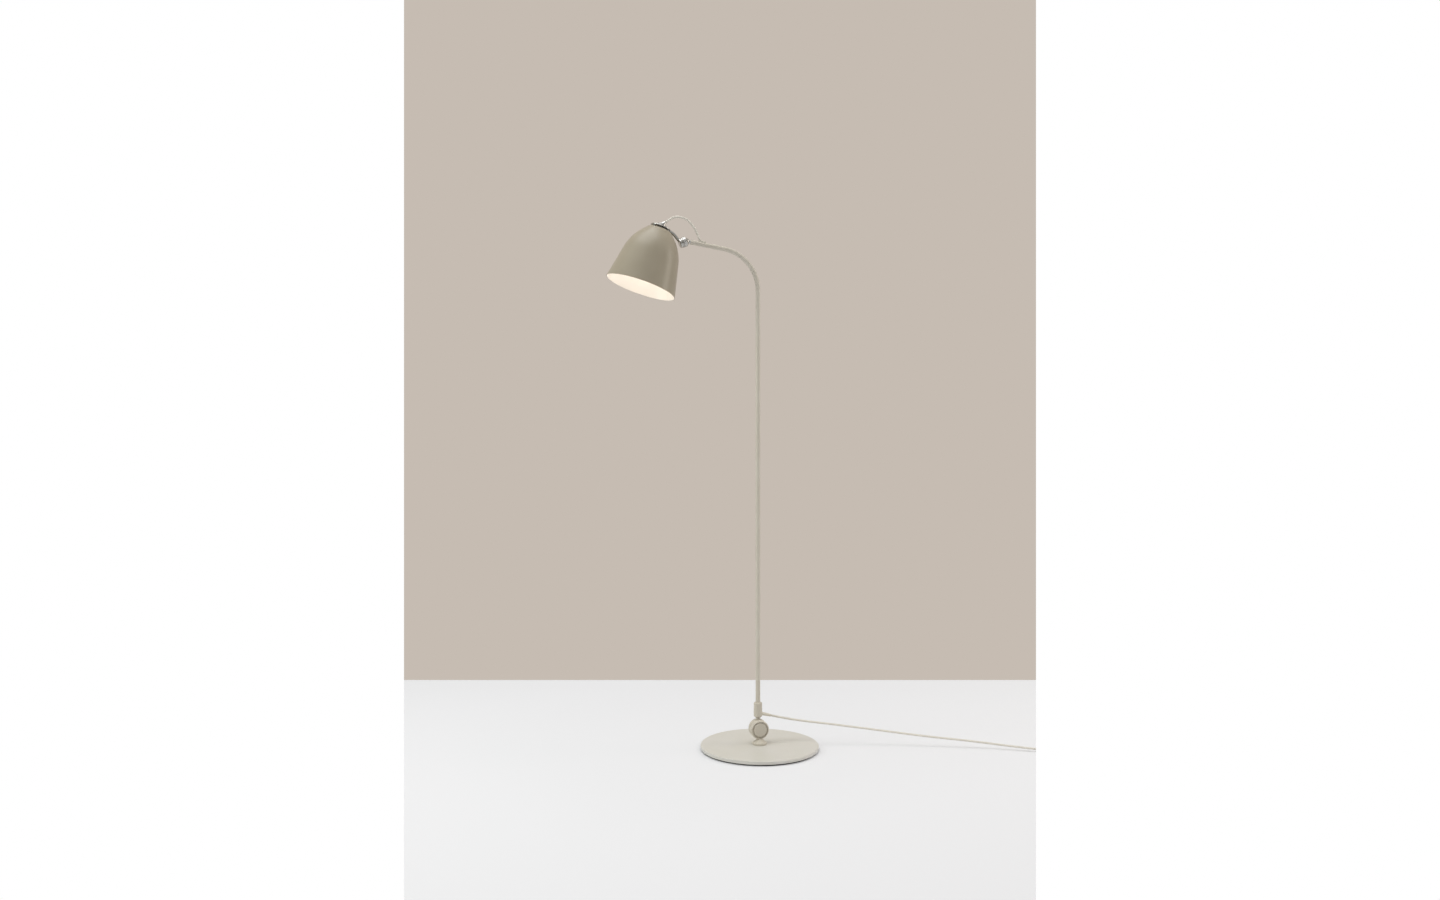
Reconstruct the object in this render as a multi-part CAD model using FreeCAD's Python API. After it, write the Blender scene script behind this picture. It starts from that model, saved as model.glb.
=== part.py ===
"""Reading floor lamp: a round base, a tilting pole bent over at the top, and a bell shade on a ball joint.

Millimetres. +Z is up, the origin is the middle of the base on the floor, the arm points to -X,
and the tilt hinge at the foot of the pole has its axis along Y, with its cover on the -Y side.
"""
import FreeCAD, Part
import math
import os

V = FreeCAD.Vector
X_AXIS, Y_AXIS, Z_AXIS = V(1, 0, 0), V(0, 1, 0), V(0, 0, 1)

# ---------------------------------------------------------------- driving dimensions
# Clearances
RUN = 0.05                 # radial play of a shaft, thread or ball in its seat
GAP = 0.3                  # air between pieces of different bodies
SEAT = 0.02                # play of a piece pushed into its seat

# Base
base_radius = 125.0
base_plate_thickness = 7.0
base_edge_round = 1.8
pad_radius = 120.0
pad_thickness = 3.0
pad_pocket_radius = 8.0     # in its upper side, over the foot screw's head
pad_pocket_depth = 1.5
foot_screw_radius = 3.0
foot_screw_head_radius = 5.0
foot_screw_head_height = 3.2
foot_screw_head_below = 1.2  # how far the head stands below the plate
foot_screw_length = 16.0
foot_washer_radius = 9.0
foot_washer_thickness = 1.4
foot_pin_radius = 2.0
foot_pin_length = 5.0
foot_pin_offset = 9.0

# Foot casting, from the flange up to the hinge disc
flange_radius = 15.2
flange_height = 4.6
waist_radius = 5.4
waist_height = 11.5        # top of the cone above the plate
hinge_height = 41.0        # hinge axis above the floor
disc_radius = 19.5
disc_thickness = 12.0
disc_bevel = 1.9
hinge_bolt_radius = 4.0
bolt_head_across = 13.0
bolt_head_height = 5.3
cover_recess_radius = 17.2
cover_recess_depth = 2.6
cover_radius = 13.9
cover_proud = 0.5
friction_washer_radius = 13.0
friction_washer_thickness = 1.6
disc_gap = 0.4             # air between the two hinge discs
spring_radius = 8.0
spring_thickness = 1.2
lock_nut_across = 13.0
lock_nut_height = 3.2
bolt_end_past_nut = 0.4
rear_recess_radius = 15.5
rear_recess_depth = 8.0
rear_cover_thickness = 1.6
hinge_bush_wall = 1.2

# Pole, collar and arm
tube_radius = 5.0
tube_wall = 1.0
pole_knee_height = 973.0   # where the bend starts
bend_radius = 86.0         # centre-line radius of the bend
bend_angle = 81.4          # turned from upright
arm_reach = 84.0           # from the end of the bend to the ball's centre
neck_radius = 4.9
stub_bore_radius = 3.0
collar_bottom = 65.0
collar_height = 31.4
collar_radius = 9.1
collar_shoulder = 3.8
collar_chamfer = 2.0
tube_foot = 79.8           # where the pole tube stands on the stub
flat_low = 82.5            # the two spanner flats on the collar
flat_high = 92.0
flat_depth = 1.0
grub_radius = 2.0
grub_heights = (75.5, 86.5)
lead_exit_height = 73.5    # where the lead's axis meets the pole's axis
lead_exit_drop = 14.0      # degrees below level
relief_length = 20.0
relief_root_radius = 3.6
relief_tip_radius = 2.9
relief_wall_inside = 2.4   # how far the relief's root reaches into the collar

# Leads
lead_diameter = 4.5
lead_play = 0.1            # round the lead in a hole
lead_joint = 0.2           # between the lead's ends on different bodies
pole_lead_turn = 4.6       # radius of the lead's turn into the pole
arm_lead_turn = 6.0        # radius of its turn out of the arm
hood_radius = 3.3          # hood on the arm that the lead comes out of
hood_length = 8.0
hood_rise = 4.5            # its middle above the arm's middle
lead_entry_back = 32.5     # along the arm, from the ball's centre to the lead's turn
lead_entry_slope = 109.7   # direction of the lead above the hood, in degrees from +X
lead_entry_rise = 8.7      # from the lead's turn to the hood's mouth

# Ball joint at the end of the arm
ball_radius = 6.5
ball_neck_radius = 3.0
ball_neck_end = 8.0        # from the ball's centre
ball_flange_end = 8.6
ball_spigot_length = 15.0
pad_shell = 1.0            # thickness of the pressure pad behind the ball
pad_half_angle = 18.0
cup_radius = 9.0
cup_front = -2.4           # along the socket's axis from the ball's centre
cup_shoulder = -8.4
cup_flange_radius = 10.6
cup_flange_end = -11.0
cup_groove_radius = 8.8
cup_groove_end = -12.3
cup_back_radius = 9.8
cup_back = -16.2
ring_radius = 10.8
ring_mouth_angle = 77.0    # of the ring's lip, seen from the ball's centre
ring_seat_back = -2.05
ring_back = -8.0
ring_nose_start = -1.5
ring_nose_radius = 8.2
ring_flutes = 22
ring_flute_radius = 0.8

# Head, in its own frame: its middle line is local Z, the rim is at -shade_depth
head_tilt = 18.5           # of the shade's middle line from upright, at rest
ball_from_axis = 60.0      # the ball's place in the head's frame
ball_below_cap = 8.6
socket_angle = 42.0        # of the socket's axis above the cap's plane
cap_radius = 22.0
cap_thickness = 2.6
cap_edge_round = 0.9
stem_radius = 3.3
stem_route = [(12.0, -1.4), (27.5, -2.6), (48.5, -15.2)]
boss_radius = 8.7
boss_height = 6.6
boss_wall = 1.3
gland_tilt = 35.0
gland_start = 2.4          # along its axis from where it meets the head's middle line
gland_end = 11.0
gland_root_radius = 4.6
gland_tip_radius = 3.2
gland_axis_height = 4.0
post_circle = 17.0
post_radius = 2.3
post_angles = (90.0, 210.0, 330.0)
post_screw_radius = 1.5
post_screw_head_radius = 2.7
post_screw_head_height = 1.8

shade_depth = 134.0
crown_height = -6.3        # top face of the crown
crown_flat_radius = 20.6
shoulder_radius = 10.0
shoulder_angle = 48.0
shoulder_run = 12.5
side_radius = 100.0
skirt_angle = 78.2
shade_wall = 1.1
vent_count = 9
vent_circle = 12.6
vent_radius = 1.9

# Lamp holder and bulb, in the head's frame
nipple_radius = 4.95
nipple_bore_radius = 2.9
nipple_top = 3.6
nipple_bottom = -19.0
nipple_nut_radius = 6.7
nipple_nut_height = 2.8
holder_nut_radius = 7.2
holder_nut_height = 2.4
holder_top = -11.4
holder_split = -24.0
holder_bottom = -50.0
holder_radius = 14.0
holder_wall = 1.4
holder_core_bottom = -48.4
shell_radius = 8.2
shell_wall = 0.6
shell_top = -29.5
bulb_cap_radius = 7.0
bulb_cap_top = -31.0
bulb_cap_bottom = -52.5
bulb_tip_radius = 2.6
bulb_tip_height = 1.0
bulb_radius = 22.5
bulb_centre = -79.0
bulb_neck_radius = 8.4
glass_wall = 1.0

# Lead on the floor: points chosen by hand, (x, y, z) of the lead's middle
loop_route = [                    # (x, z) of the loop over the ball joint, from the ball's centre
    (-21.3, 50.4),
    (-3.8, 48.9),
    (10.7, 38.9),
]
span_route = [
    (71.0, 12.0, 55.2),
    (150.0, -4.0, 45.1),
    (250.0, -31.0, 32.4),
    (350.0, -66.0, 20.8),
    (440.0, -100.0, 14.0),
    (500.0, -129.0, 8.7),
]
switch_entry = (581.0, -170.3)      # tip of the relief where the lead goes in
switch_heading = -20.0
switch_approach = 22.0     # the lead runs straight for this long before it goes in
switch_lead_height = 5.2
switch_length = 60.0
switch_width = 34.0
switch_base_height = 8.6
switch_cover_height = 10.0
switch_wall = 2.0
switch_edge_round = 4.0
switch_relief_length = 18.0
button_radius = 9.0
button_flange_radius = 10.6
button_flange_height = 1.4
button_proud = 3.6
button_spring_radius = 4.5
button_spring_wall = 0.9
lead_inside = 6.0          # how far a lead's end reaches into the switch or the plug
switch_screw_radius = 1.4
switch_screw_head_radius = 2.6
switch_screw_offset = (20.0, 8.0)
switch_post_radius = 3.4
link_route = [
    (691.8, -204.7, 4.7),
    (705.5, -198.6, 4.3),
    (715.9, -187.8, 3.9),
    (721.5, -173.9, 3.7),
]
coil_start = (721.5, -154.0)        # east point of the coil's outer turn, heading north
coil_outer_radius = 32.5
coil_pitch = 5.0           # between turns, and between layers
coil_layer_turns = 2.125
coil_layers = 4
coil_first_height = 3.7
tail_route = [
    (721.5, -137.0, 18.0),
    (720.6, -124.0, 14.6),
    (718.4, -111.0, 10.0),
    (716.0, -98.0, 7.6),
]
plug_entry = (714.0, -82.0)
plug_heading = 97.0
plug_lead_height = 7.2
tie_width = 9.0
tie_thickness = 0.8
tie_play = 0.25
tie_turn = 205.0           # where round the coil the tie sits, in degrees

# Plug, along its own local X from the lead's entry
plug_relief_length = 24.0
plug_relief_tip_radius = 3.1
plug_relief_root_radius = 5.2
plug_body_length = 33.0
plug_body_width = 35.0
plug_body_height = 13.6
plug_nose_width = 24.0
plug_pin_radius = 2.0
plug_pin_length = 19.0
plug_pin_spacing = 18.6
plug_pin_inside = 6.0


# ---------------------------------------------------------------- helpers
def point_at(x, z):
    return V(x, 0, z)


def face_of(start, *steps):
    """A flat face in the XZ plane: each step is an end point, or a point on an arc and its end point."""
    edges = []
    here = point_at(*start)
    for step in steps:
        if len(step) == 2 and not isinstance(step[0], tuple):
            there = point_at(*step)
            edges.append(Part.LineSegment(here, there).toShape())
        else:
            there = point_at(*step[1])
            edges.append(Part.Arc(here, point_at(*step[0]), there).toShape())
        here = there
    if here.distanceToPoint(point_at(*start)) > 1e-6:
        edges.append(Part.LineSegment(here, point_at(*start)).toShape())
    return Part.Face(Part.Wire(edges))


def turned(start, *steps):
    """A solid of revolution about Z from an outline of (radius, height) steps."""
    return face_of(start, *steps).revolve(V(0, 0, 0), Z_AXIS, 360)


def arc_step(centre, radius, start_angle, end_angle):
    """A step round part of a circle; angles in degrees from +X towards +Z."""
    def on(angle):
        a = math.radians(angle)
        return (centre[0] + radius * math.cos(a), centre[1] + radius * math.sin(a))
    return (on((start_angle + end_angle) / 2), on(end_angle))


def rod(radius, bottom, top):
    """An upright cylinder between two heights."""
    return Part.makeCylinder(radius, top - bottom, V(0, 0, bottom))


def pipe(outer, inner, bottom, top):
    return rod(outer, bottom, top).cut(rod(inner, bottom - 1, top + 1))


def hexagon(across, bottom, top):
    """A six-sided prism, with its flats this far apart."""
    reach = across / math.sqrt(3)
    ring = [V(reach * math.cos(math.radians(60 * i)), reach * math.sin(math.radians(60 * i)), bottom)
            for i in range(7)]
    return Part.Face(Part.makePolygon(ring)).extrude(V(0, 0, top - bottom))


def stadium(length, width, bottom, top):
    """A prism with round ends, lying along X with its middle at the origin."""
    r = width / 2
    x = length / 2 - r
    edges = [
        Part.LineSegment(V(-x, -r, bottom), V(x, -r, bottom)).toShape(),
        Part.Arc(V(x, -r, bottom), V(x + r, 0, bottom), V(x, r, bottom)).toShape(),
        Part.LineSegment(V(x, r, bottom), V(-x, r, bottom)).toShape(),
        Part.Arc(V(-x, r, bottom), V(-x - r, 0, bottom), V(-x, -r, bottom)).toShape(),
    ]
    return Part.Face(Part.Wire(edges)).extrude(V(0, 0, top - bottom))


def placed(shape, placement):
    """A copy of a shape, moved from a local frame to where the placement puts that frame."""
    copy = shape.copy()
    copy.Placement = placement.multiply(copy.Placement)
    return copy


def facing(origin, direction):
    """The frame whose Z points along a direction."""
    return FreeCAD.Placement(V(*origin), FreeCAD.Rotation(Z_AXIS, V(*direction)))


def around_z(degrees):
    return FreeCAD.Placement(V(0, 0, 0), FreeCAD.Rotation(Z_AXIS, degrees))


def ring_of(shape, angles):
    return [placed(shape, around_z(angle)) for angle in angles]


def rounded(shape, radius, keep):
    """The shape with a fillet on the edges that keep() picks."""
    return shape.makeFillet(radius, [e for e in shape.Edges if keep(e)])


def lies_at(edge, height):
    box = edge.BoundBox
    return abs(box.ZMin - height) < 1e-6 and abs(box.ZMax - height) < 1e-6


def round_route(points, radii):
    """A wire of straight runs joined by tangent arcs, with the arc radius wanted at each inner point."""
    points = [V(*p) for p in points]
    edges = []
    here = points[0]
    for before, at, after, radius in zip(points, points[1:], points[2:], radii):
        u = (at - before).normalize()
        w = (after - at).normalize()
        turn = u.getAngle(w)
        reach = radius * math.tan(turn / 2)
        start = at - u * reach
        end = at + w * reach
        inward = (w - u).normalize()
        middle = at + inward * (radius / math.cos(turn / 2) - radius)
        edges.append(Part.LineSegment(here, start).toShape())
        edges.append(Part.Arc(start, middle, end).toShape())
        here = end
    edges.append(Part.LineSegment(here, points[-1]).toShape())
    return Part.Wire(edges)


def easy_radii(points):
    """The arc radius at each inner point: 0.45 of the shorter run over the tangent of half the turn."""
    points = [V(*p) for p in points]
    radii = []
    for before, at, after in zip(points, points[1:], points[2:]):
        turn = (at - before).getAngle(after - at)
        run = min((at - before).Length, (after - at).Length)
        radii.append(0.45 * run / math.tan(turn / 2))
    return radii


def swept(wire, radius):
    """A round bar along a wire of lines and tangent arcs."""
    first = wire.OrderedEdges[0]
    start = first.valueAt(first.FirstParameter)
    heading = first.tangentAt(first.FirstParameter)
    if start.distanceToPoint(wire.OrderedVertexes[0].Point) > 1e-6:
        start = first.valueAt(first.LastParameter)
        heading = first.tangentAt(first.LastParameter) * -1
    circle = Part.Wire(Part.Circle(start, heading, radius).toShape())
    return wire.makePipeShell([circle], True, False)


def report_tube(name, shape, wire, radius, radii):
    """Print a lead's length, its radii and how its volume compares with its section times its length."""
    expected = math.pi * radius ** 2 * wire.Length
    listed = " ".join("%.0f" % r for r in radii)
    print("%-14s length %.1f  volume / expected %.4f  radii %s" % (name, wire.Length,
                                                                   shape.Volume / expected, listed))


def free_lead(name, points):
    """A tube along a stretch of the lead that lies or hangs free."""
    radii = easy_radii(points)
    wire = round_route(points, radii)
    shape = swept(wire, lead_diameter / 2)
    report_tube(name, shape, wire, lead_diameter / 2, radii)
    return shape


def on_floor(origin, heading):
    """The frame of a thing that lies on the floor with its local X along a heading."""
    return FreeCAD.Placement(V(origin[0], origin[1], 0), FreeCAD.Rotation(Z_AXIS, heading))


def write(name, *shapes):
    """One file for each node; several solids of one node are kept apart in it."""
    solids = [s for shape in shapes for s in shape.Solids]
    for solid in solids:
        if not solid.isValid() or not solid.isClosed():
            print("NOT VALID", name)
    whole = solids[0] if len(solids) == 1 else Part.makeCompound(solids)
    whole.exportStep(os.path.join("parts", name + ".step"))
    box = whole.optimalBoundingBox()
    print("%-18s %d solid  volume %.0f  x %.1f %.1f  y %.1f %.1f  z %.1f %.1f" % (
        name, len(solids), whole.Volume, box.XMin, box.XMax, box.YMin, box.YMax, box.ZMin, box.ZMax))
    return whole


# ---------------------------------------------------------------- places worked out from the sizes
plate_bottom = pad_thickness
plate_top = pad_thickness + base_plate_thickness
waist_top = plate_top + waist_height
lead_radius = lead_diameter / 2
hinge_centre = V(0, 0, hinge_height)
disc_front = -disc_thickness / 2
disc_back = disc_thickness / 2
pole_disc_front = disc_back + disc_gap
pole_disc_back = pole_disc_front + disc_thickness
pole_y = (pole_disc_front + pole_disc_back) / 2
collar_top = collar_bottom + collar_height
tube_bore = tube_radius - tube_wall

# The hinge's own frame has its Z along +Y, and its origin on the hinge axis at Y = 0.
HINGE = facing(hinge_centre, (0, 1, 0))

bend_end = V(-bend_radius * (1 - math.cos(math.radians(bend_angle))), pole_y,
             pole_knee_height + bend_radius * math.sin(math.radians(bend_angle)))
arm_direction = V(-math.sin(math.radians(bend_angle)), 0, math.cos(math.radians(bend_angle)))
ball_centre = bend_end + arm_direction * arm_reach
tube_end = ball_centre - arm_direction * ball_flange_end

lead_turn = ball_centre - arm_direction * lead_entry_back
entry_direction = V(math.cos(math.radians(lead_entry_slope)), 0, math.sin(math.radians(lead_entry_slope)))
lead_entry = lead_turn + entry_direction * lead_entry_rise

exit_direction = V(math.cos(math.radians(lead_exit_drop)), 0, -math.sin(math.radians(lead_exit_drop)))
exit_centre = V(0, pole_y, lead_exit_height)
relief_tip = exit_centre + exit_direction * (collar_radius + relief_length)

head_turn = FreeCAD.Rotation(Y_AXIS, head_tilt)
HEAD = FreeCAD.Placement(ball_centre - head_turn.multVec(V(ball_from_axis, 0, -ball_below_cap)), head_turn)
socket_axis = V(math.cos(math.radians(socket_angle)), 0, math.sin(math.radians(socket_angle)))
SOCKET = HEAD.multiply(facing((ball_from_axis, 0, -ball_below_cap), socket_axis))
gland_axis = V(math.sin(math.radians(gland_tilt)), 0, math.cos(math.radians(gland_tilt)))
gland_foot = V(0, 0, gland_axis_height)
gland_mouth = gland_foot + gland_axis * gland_end
swivel_axis = (lead_entry - ball_centre).normalize()

SWITCH = on_floor(switch_entry, switch_heading)
switch_middle = switch_relief_length + switch_length / 2
switch_far = 2 * switch_relief_length + switch_length
PLUG = on_floor(plug_entry, plug_heading)
coil_centre = (coil_start[0] - coil_outer_radius, coil_start[1])


# ---------------------------------------------------------------- base and foot
def base_plate():
    r, e = base_radius, base_edge_round
    plate = turned(
        (0, plate_bottom), (r - 0.8, plate_bottom), (r, plate_bottom + 0.8), (r, plate_top - e),
        arc_step((r - e, plate_top - e), e, 0, 90), (0, plate_top))
    hole = rod(foot_screw_radius + 0.3, plate_bottom - 1, plate_top + 1)
    recess = rod(foot_washer_radius + 0.5, plate_bottom - 1, plate_bottom + screw_recess_depth())
    pin_hole = rod(foot_pin_radius + SEAT, plate_top - foot_pin_length / 2, plate_top + 1)
    pin_hole.translate(V(foot_pin_offset, 0, 0))
    return plate.cut(hole).cut(recess).cut(pin_hole)


def screw_recess_depth():
    """Deep enough for the washer and most of the screw's head; the pad's pocket takes the rest."""
    return foot_washer_thickness + foot_screw_head_height - foot_screw_head_below


def base_pad():
    pad = rod(pad_radius, 0, pad_thickness)
    return pad.cut(rod(pad_pocket_radius, pad_thickness - pad_pocket_depth, pad_thickness + 1))


def foot_washer():
    top = plate_bottom + screw_recess_depth()
    return pipe(foot_washer_radius, foot_screw_radius + 0.2, top - foot_washer_thickness, top)


def foot_screw():
    head_top = plate_bottom + screw_recess_depth() - foot_washer_thickness
    head = rod(foot_screw_head_radius, head_top - foot_screw_head_height, head_top)
    socket = hexagon(5.0, head_top - foot_screw_head_height - 1, head_top - 1.2)
    return head.fuse(rod(foot_screw_radius, head_top,
                         head_top + foot_screw_length)).cut(socket).removeSplitter()


def foot_pin():
    pin = rod(foot_pin_radius, plate_top - foot_pin_length / 2, plate_top + foot_pin_length / 2)
    pin.translate(V(foot_pin_offset, 0, 0))
    return pin


def hinge_disc(front, back):
    """A hinge disc in the hinge's frame, with a bevel round both faces."""
    r, b = disc_radius, disc_bevel
    return turned((0, front), (r - b, front), (r, front + b), (r, back - b / 2), (r - b / 2, back),
                  (0, back))


def foot():
    """The flange and cone that stand on the base, with the fixed hinge disc on top."""
    f, w = flange_radius, waist_radius
    top = hinge_height - disc_radius * 0.6
    body = turned(
        (0, plate_top), (f - 0.6, plate_top), (f, plate_top + 0.6), (f, plate_top + flange_height - 1.2),
        arc_step((f - 1.2, plate_top + flange_height - 1.2), 1.2, 0, 60),
        (w, waist_top), (w, top), (0, top))
    disc = hinge_disc(disc_front, disc_back)
    disc = disc.cut(rod(cover_recess_radius, disc_front - 1, disc_front + cover_recess_depth))
    disc = disc.cut(hexagon(bolt_head_across + 2 * SEAT, disc_front,
                            disc_front + cover_recess_depth + bolt_head_height))
    disc = disc.cut(rod(hinge_bolt_radius + SEAT, disc_front, disc_back + 1))
    disc = disc.cut(rod(friction_washer_radius + SEAT, disc_back - washer_seat(), disc_back + 1))
    pocket = placed(rod(disc_radius - 1.0, disc_front + 0.5, disc_back - 0.5), HINGE)
    shape = body.cut(pocket).fuse(placed(disc, HINGE)).removeSplitter()
    thread_top = plate_bottom + screw_recess_depth() - foot_washer_thickness + foot_screw_length + 1
    shape = shape.cut(rod(foot_screw_radius + SEAT, plate_top - 1, min(thread_top, top - 1)))
    pin_hole = rod(foot_pin_radius + SEAT, plate_top - 1, plate_top + foot_pin_length / 2)
    pin_hole.translate(V(foot_pin_offset, 0, 0))
    return shape.cut(pin_hole)


def washer_seat():
    """How deep the friction washer sits in the fixed disc, so that it just misses the moving one."""
    return friction_washer_thickness - disc_gap + 0.1


def hinge_cover():
    back = disc_front + cover_recess_depth
    front = disc_front - cover_proud
    r = cover_radius
    cover = turned((0, front), (r - 0.8, front), (r, front + 0.8), (r, back), (0, back))
    return placed(cover, HINGE)


def hinge_bolt():
    head_front = disc_front + cover_recess_depth
    head = hexagon(bolt_head_across, head_front, head_front + bolt_head_height)
    shank = rod(hinge_bolt_radius, head_front + bolt_head_height, nut_top() + bolt_end_past_nut)
    return placed(head.fuse(shank).removeSplitter(), HINGE)


def friction_washer():
    bottom = disc_back - washer_seat()
    return placed(pipe(friction_washer_radius, hinge_bolt_radius + 0.2, bottom,
                       bottom + friction_washer_thickness), HINGE)


def spring_bottom():
    return pole_disc_back - rear_recess_depth + 0.1


def disc_springs():
    """Two cupped washers, back to back, that keep the hinge tight."""
    rise = 0.5
    r, i, t = spring_radius, hinge_bolt_radius + 0.2, spring_thickness - rise
    low = spring_bottom()
    cup = turned((i, low + rise), (r, low), (r, low + t), (i, low + rise + t))
    flipped = placed(cup, FreeCAD.Placement(V(0, 0, 2 * (low + spring_thickness)),
                                            FreeCAD.Rotation(X_AXIS, 180)))
    return [placed(cup, HINGE), placed(flipped, HINGE)]


def nut_bottom():
    return spring_bottom() + 2 * spring_thickness


def nut_top():
    return nut_bottom() + lock_nut_height


def lock_nut():
    nut = hexagon(lock_nut_across, nut_bottom(), nut_top())
    return placed(nut.cut(rod(hinge_bolt_radius + SEAT, nut_bottom() - 1, nut_top() + 1)), HINGE)


# ---------------------------------------------------------------- pole
def pole_knuckle():
    """The moving hinge disc, with the stub that goes up into the collar."""
    disc = hinge_disc(pole_disc_front, pole_disc_back)
    disc = disc.cut(rod(rear_recess_radius, pole_disc_back - rear_recess_depth, pole_disc_back + 1))
    disc = disc.cut(rod(bush_radius() + SEAT, pole_disc_front - 1, pole_disc_back))
    stub = rod(neck_radius, hinge_height, tube_foot - GAP)
    stub.translate(V(0, pole_y, 0))
    pocket = placed(rod(disc_radius - 1.0, pole_disc_front - 2, pole_disc_back + 2), HINGE)
    shape = placed(disc, HINGE).fuse(stub.cut(pocket)).removeSplitter()
    bore = rod(stub_bore_radius, lead_exit_height - 3.0, tube_foot + 1)
    bore.translate(V(0, pole_y, 0))
    side = placed(rod(stub_bore_radius, 0, collar_radius), facing(exit_centre, exit_direction))
    return shape.cut(bore).cut(side)


def bush_radius():
    return hinge_bolt_radius + RUN + hinge_bush_wall


def hinge_bush():
    """Plain bearing pressed into the moving disc; it turns on the bolt."""
    back = pole_disc_back - rear_recess_depth
    return placed(pipe(bush_radius(), hinge_bolt_radius + RUN, pole_disc_front + 0.1, back - 0.1), HINGE)


def hinge_rear_cover():
    r = rear_recess_radius - 0.1
    cover = turned((0, pole_disc_back - rear_cover_thickness), (r, pole_disc_back - rear_cover_thickness),
                   (r, pole_disc_back), (r - 0.6, pole_disc_back + 0.6), (0, pole_disc_back + 0.6))
    return placed(cover, HINGE)


def collar():
    r, s, c = collar_radius, collar_shoulder, collar_chamfer
    body = turned(
        (0, collar_bottom), (r - c, collar_bottom), (r, collar_bottom + c), (r, collar_top - s),
        arc_step((r - s, collar_top - s), s, 0, 78), (tube_radius + RUN, collar_top), (0, collar_top))
    body = body.cut(rod(tube_radius + RUN, collar_bottom - 1, collar_top + 1))
    for side in (-1, 1):
        x = side * (r - flat_depth / 2 + 2)
        cutter = Part.makeBox(4 + flat_depth, 2 * r, flat_high - flat_low,
                              V(x - 2 - flat_depth / 2, -r, flat_low))
        body = body.cut(cutter)
    body.translate(V(0, pole_y, 0))
    body = body.cut(placed(rod(relief_root_radius + SEAT, 0, collar_radius + 5),
                           facing(exit_centre, exit_direction)))
    for height in grub_heights:
        body = body.cut(placed(rod(grub_radius + SEAT, 0, collar_radius + 1),
                               facing((0, pole_y, height), (0, 1, 0))))
    return body


def collar_screws():
    """Two grub screws at the back that hold the stub and the pole in the collar."""
    screws = []
    for height in grub_heights:
        screw = rod(grub_radius, tube_radius + 0.05, collar_radius - 0.4)
        socket = hexagon(2.0, collar_radius - 2.2, collar_radius)
        screws.append(placed(screw.cut(socket), facing((0, pole_y, height), (0, 1, 0))))
    return screws


def lead_relief():
    """Tapered sleeve where the lead leaves the collar."""
    root = collar_radius - relief_wall_inside
    tip = collar_radius + relief_length
    sleeve = turned(
        (0, root), (relief_root_radius, root), (relief_root_radius, collar_radius + 1.0),
        (relief_tip_radius, tip - 0.6), (relief_tip_radius - 0.4, tip), (0, tip))
    sleeve = sleeve.cut(rod(lead_radius + lead_play, root - 1, tip + 1))
    return placed(sleeve, facing(exit_centre, exit_direction))


def arm_path(start_height, end_point):
    """The pole's middle line, from a height up round the bend to a point on the arm."""
    knee = V(0, pole_y, pole_knee_height)
    half = math.radians(bend_angle / 2)
    middle = V(-bend_radius * (1 - math.cos(half)), pole_y, pole_knee_height + bend_radius * math.sin(half))
    return [
        Part.LineSegment(V(0, pole_y, start_height), knee).toShape(),
        Part.Arc(knee, middle, bend_end).toShape(),
        Part.LineSegment(bend_end, end_point).toShape(),
    ]


def arm_tube():
    outside = swept(Part.Wire(arm_path(tube_foot, tube_end)), tube_radius)
    over = arm_direction * 1.0
    inside = swept(Part.Wire(arm_path(tube_foot - 1, tube_end + over)), tube_bore)
    hole = placed(rod(lead_radius + 0.6, 0, 12), facing(lead_turn, entry_direction))
    return outside.cut(inside).cut(hole)


def lead_hood():
    """The hood on top of the arm that the lead goes in at."""
    lift = V(-arm_direction.z, 0, arm_direction.x) * -1
    far = lead_turn + arm_direction * 1.6 + lift * hood_rise
    near = far - arm_direction * hood_length
    body = Part.makeCylinder(hood_radius, hood_length, near, arm_direction)
    ends = Part.makeSphere(hood_radius, near).fuse(Part.makeSphere(hood_radius, far))
    body = body.fuse(ends).removeSplitter()
    along_arm = facing(lead_turn - arm_direction * 30, arm_direction)
    body = body.cut(placed(rod(tube_radius + SEAT, 0, 60), along_arm))
    neck = placed(rod(lead_radius + 0.55, 3.0, 8.0), facing(lead_turn, entry_direction))
    neck = neck.cut(placed(rod(tube_bore, 0, 60), along_arm))
    body = body.fuse(neck).removeSplitter()
    return body.cut(placed(rod(lead_radius + lead_play, -2, 20), facing(lead_turn, entry_direction)))


def pole_lead():
    """The lead inside the lamp: in at the collar, up the pole, along the arm and out at the hood."""
    reach = pole_lead_turn * math.tan(math.radians(90 - lead_exit_drop) / 2)
    start = relief_tip
    bottom_start = exit_centre + exit_direction * reach
    bottom_end = exit_centre + Z_AXIS * reach
    inward = (exit_direction + Z_AXIS).normalize()
    half_turn = math.radians(90 - lead_exit_drop) / 2
    bottom_middle = exit_centre + inward * (pole_lead_turn / math.cos(half_turn) - pole_lead_turn)
    turn = arm_direction.getAngle(entry_direction)
    top_reach = arm_lead_turn * math.tan(turn / 2)
    top_start = lead_turn - arm_direction * top_reach
    top_end = lead_turn + entry_direction * top_reach
    top_inward = (entry_direction - arm_direction).normalize()
    top_middle = lead_turn + top_inward * (arm_lead_turn / math.cos(turn / 2) - arm_lead_turn)
    edges = [
        Part.LineSegment(start, bottom_start).toShape(),
        Part.Arc(bottom_start, bottom_middle, bottom_end).toShape(),
    ]
    edges += arm_path(bottom_end.z, top_start)
    edges += [
        Part.Arc(top_start, top_middle, top_end).toShape(),
        Part.LineSegment(top_end, lead_entry).toShape(),
    ]
    wire = Part.Wire(edges)
    shape = swept(wire, lead_radius)
    report_tube("pole_lead", shape, wire, lead_radius, [pole_lead_turn, bend_radius, arm_lead_turn])
    return shape


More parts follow.
